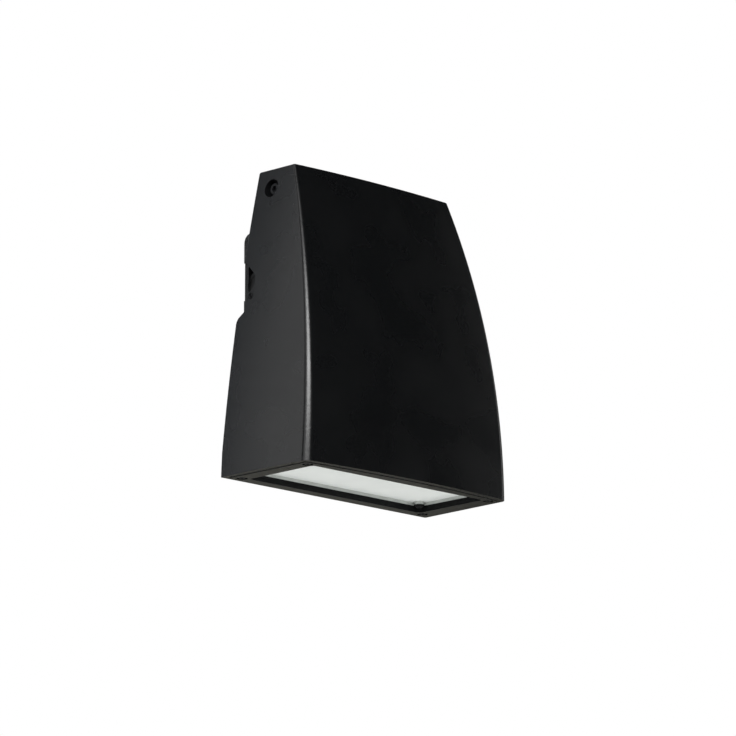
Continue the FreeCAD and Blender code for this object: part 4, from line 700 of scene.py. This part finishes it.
class WALLPACK_OT_optics(Operator):
    """Reflector, light board, chips, thermal sheet and the heat plate"""
    bl_idname = "wallpack.optics"
    bl_label = "Finish the optics"

    def execute(self, context):
        dress(moulded("sheet metal, white painted", linear("#f0f0ec"), rough=0.4), "reflector")
        dress(moulded("solder mask, white, printed", linear("#eceee8"), rough=0.35,
                      grain=0.3 * MM),
              "light_board")
        dress(moulded("phosphor, yellow, cast", linear("#e9c93b"), rough=0.5), "light_chips")
        dress(moulded("nylon, white, moulded", linear("#e6e6e2"), rough=0.4), "board_terminal")
        dress(moulded("thermal sheet, grey silicone", linear("#8d9397"), rough=0.8),
              "thermal_pad")
        dress(rolled_metal("aluminium, rolled sheet", linear("#c9cbcd"), rough=0.32),
              "heat_plate")
        return {"FINISHED"}


class WALLPACK_OT_driver(Operator):
    """Driver, its bracket and the surge protector"""
    bl_idname = "wallpack.driver"
    bl_label = "Finish the driver"

    def execute(self, context):
        look = context.scene.wallpack_finishes
        dress(rolled_metal("steel, zinc-plated, folded", tuple(look.zinc), rough=0.36),
              "driver_bracket")
        dress(rolled_metal("aluminium, drawn case", linear("#b9bcc0"), rough=0.38), "driver")
        dress(moulded("flame-proof plastic, red, moulded", linear("#9c1f19"), rough=0.4),
              "surge_protector")
        return {"FINISHED"}


class WALLPACK_OT_stage(Operator):
    """Pale floor, cards and soft boxes for the reflections, white surroundings and the camera"""
    bl_idname = "wallpack.stage"
    bl_label = "Set the stage"

    def execute(self, context):
        studio = context.scene.wallpack_studio
        scene = context.scene

        paint = board("floor paint, pale matt", tuple(studio.floor), shade=0.98, patch=0.4,
                      kind="ShaderNodeBsdfPrincipled", values={"Roughness": 0.9},
                      socket="Base Color")
        flat_sheet("floor", (0, 0, FLOOR_LEVEL), np.array((1.0, 0, 0)), np.array((0, 1.0, 0)),
                   2 * FLOOR_HALF, 2 * FLOOR_HALF, 9, paint)
        finishes = {
            "black": board("flock, black card", linear("#060606")),
            "pale": board("card, pale grey", linear("#c4c9d2")),
            "grey": board("card, mid grey", linear("#78776f")),
        }
        for name, middle, faces, wide, high, look in CARDS:
            card(name, middle, faces, wide, high, finishes[look])
        lamp(scene, "key_box", *KEY_BOX, studio.key)
        lamp(scene, "fill_box", *FILL_BOX, studio.fill)

        world = bpy.data.worlds.new("white surroundings")
        scene.world = world
        world.use_nodes = True
        tree = world.node_tree
        tree.nodes.clear()
        rays = node(tree, "ShaderNodeLightPath").outputs
        seen = rays["Is Camera Ray"]
        for other in ("Is Glossy Ray", "Is Transmission Ray"):
            seen = node(tree, "ShaderNodeMath", links={0: seen, 1: rays[other]},
                        operation="MAXIMUM").outputs[0]
        even, white = (node(tree, "ShaderNodeBackground",
                            {"Color": (1, 1, 1, 1), "Strength": strength}).outputs[0]
                       for strength in (studio.ambient, 1.0))
        both = node(tree, "ShaderNodeMixShader", links={0: seen, 1: even, 2: white}).outputs[0]
        node(tree, "ShaderNodeOutputWorld", links={"Surface": both})

        eye = bpy.data.cameras.new("camera")
        eye.lens = LENS_LENGTH
        eye.sensor_width = SENSOR_WIDTH
        eye.clip_end = FAR
        camera = bpy.data.objects.new("camera", eye)
        scene.collection.objects.link(camera)
        turn = Matrix((EYE_RIGHT, EYE_UP, -Vector(EYE_AHEAD))).transposed().to_4x4()
        camera.matrix_world = Matrix.Translation(EYE) @ turn
        scene.camera = camera
        scene.view_settings.view_transform = "Standard"
        return {"FINISHED"}


OPERATORS = (
    WALLPACK_OT_castings,
    WALLPACK_OT_lens,
    WALLPACK_OT_outer_screws,
    WALLPACK_OT_hinge,
    WALLPACK_OT_wiring,
    WALLPACK_OT_optics,
    WALLPACK_OT_driver,
    WALLPACK_OT_stage,
)


class WALLPACK_PT_panel(Panel):
    """The steps in order, with the values a user would change"""
    bl_label = "Wall pack light"
    bl_idname = "WALLPACK_PT_panel"
    bl_space_type = "VIEW_3D"
    bl_region_type = "UI"
    bl_category = "Wall pack"

    def draw(self, context):
        for name in GROUPS:
            group = getattr(context.scene, name)
            box = self.layout.box()
            for value in group.__annotations__:
                box.prop(group, value)
        for operator in OPERATORS:
            self.layout.operator(operator.bl_idname)


GROUPS = {
    "wallpack_finishes": WallPackFinishes,
    "wallpack_hardware": WallPackHardware,
    "wallpack_studio": WallPackStudio,
}


def register():
    for group in GROUPS.values():
        bpy.utils.register_class(group)
    for operator in OPERATORS:
        bpy.utils.register_class(operator)
    bpy.utils.register_class(WALLPACK_PT_panel)
    for name, group in GROUPS.items():
        setattr(bpy.types.Scene, name, PointerProperty(type=group))


def unregister():
    for name in GROUPS:
        delattr(bpy.types.Scene, name)
    bpy.utils.unregister_class(WALLPACK_PT_panel)
    for operator in reversed(OPERATORS):
        bpy.utils.unregister_class(operator)
    for group in reversed(list(GROUPS.values())):
        bpy.utils.unregister_class(group)


def main():
    register()
    for operator in OPERATORS:
        family, step = operator.bl_idname.split(".")
        getattr(getattr(bpy.ops, family), step)()
    bpy.context.view_layer.update()


if __name__ == "__main__":
    main()
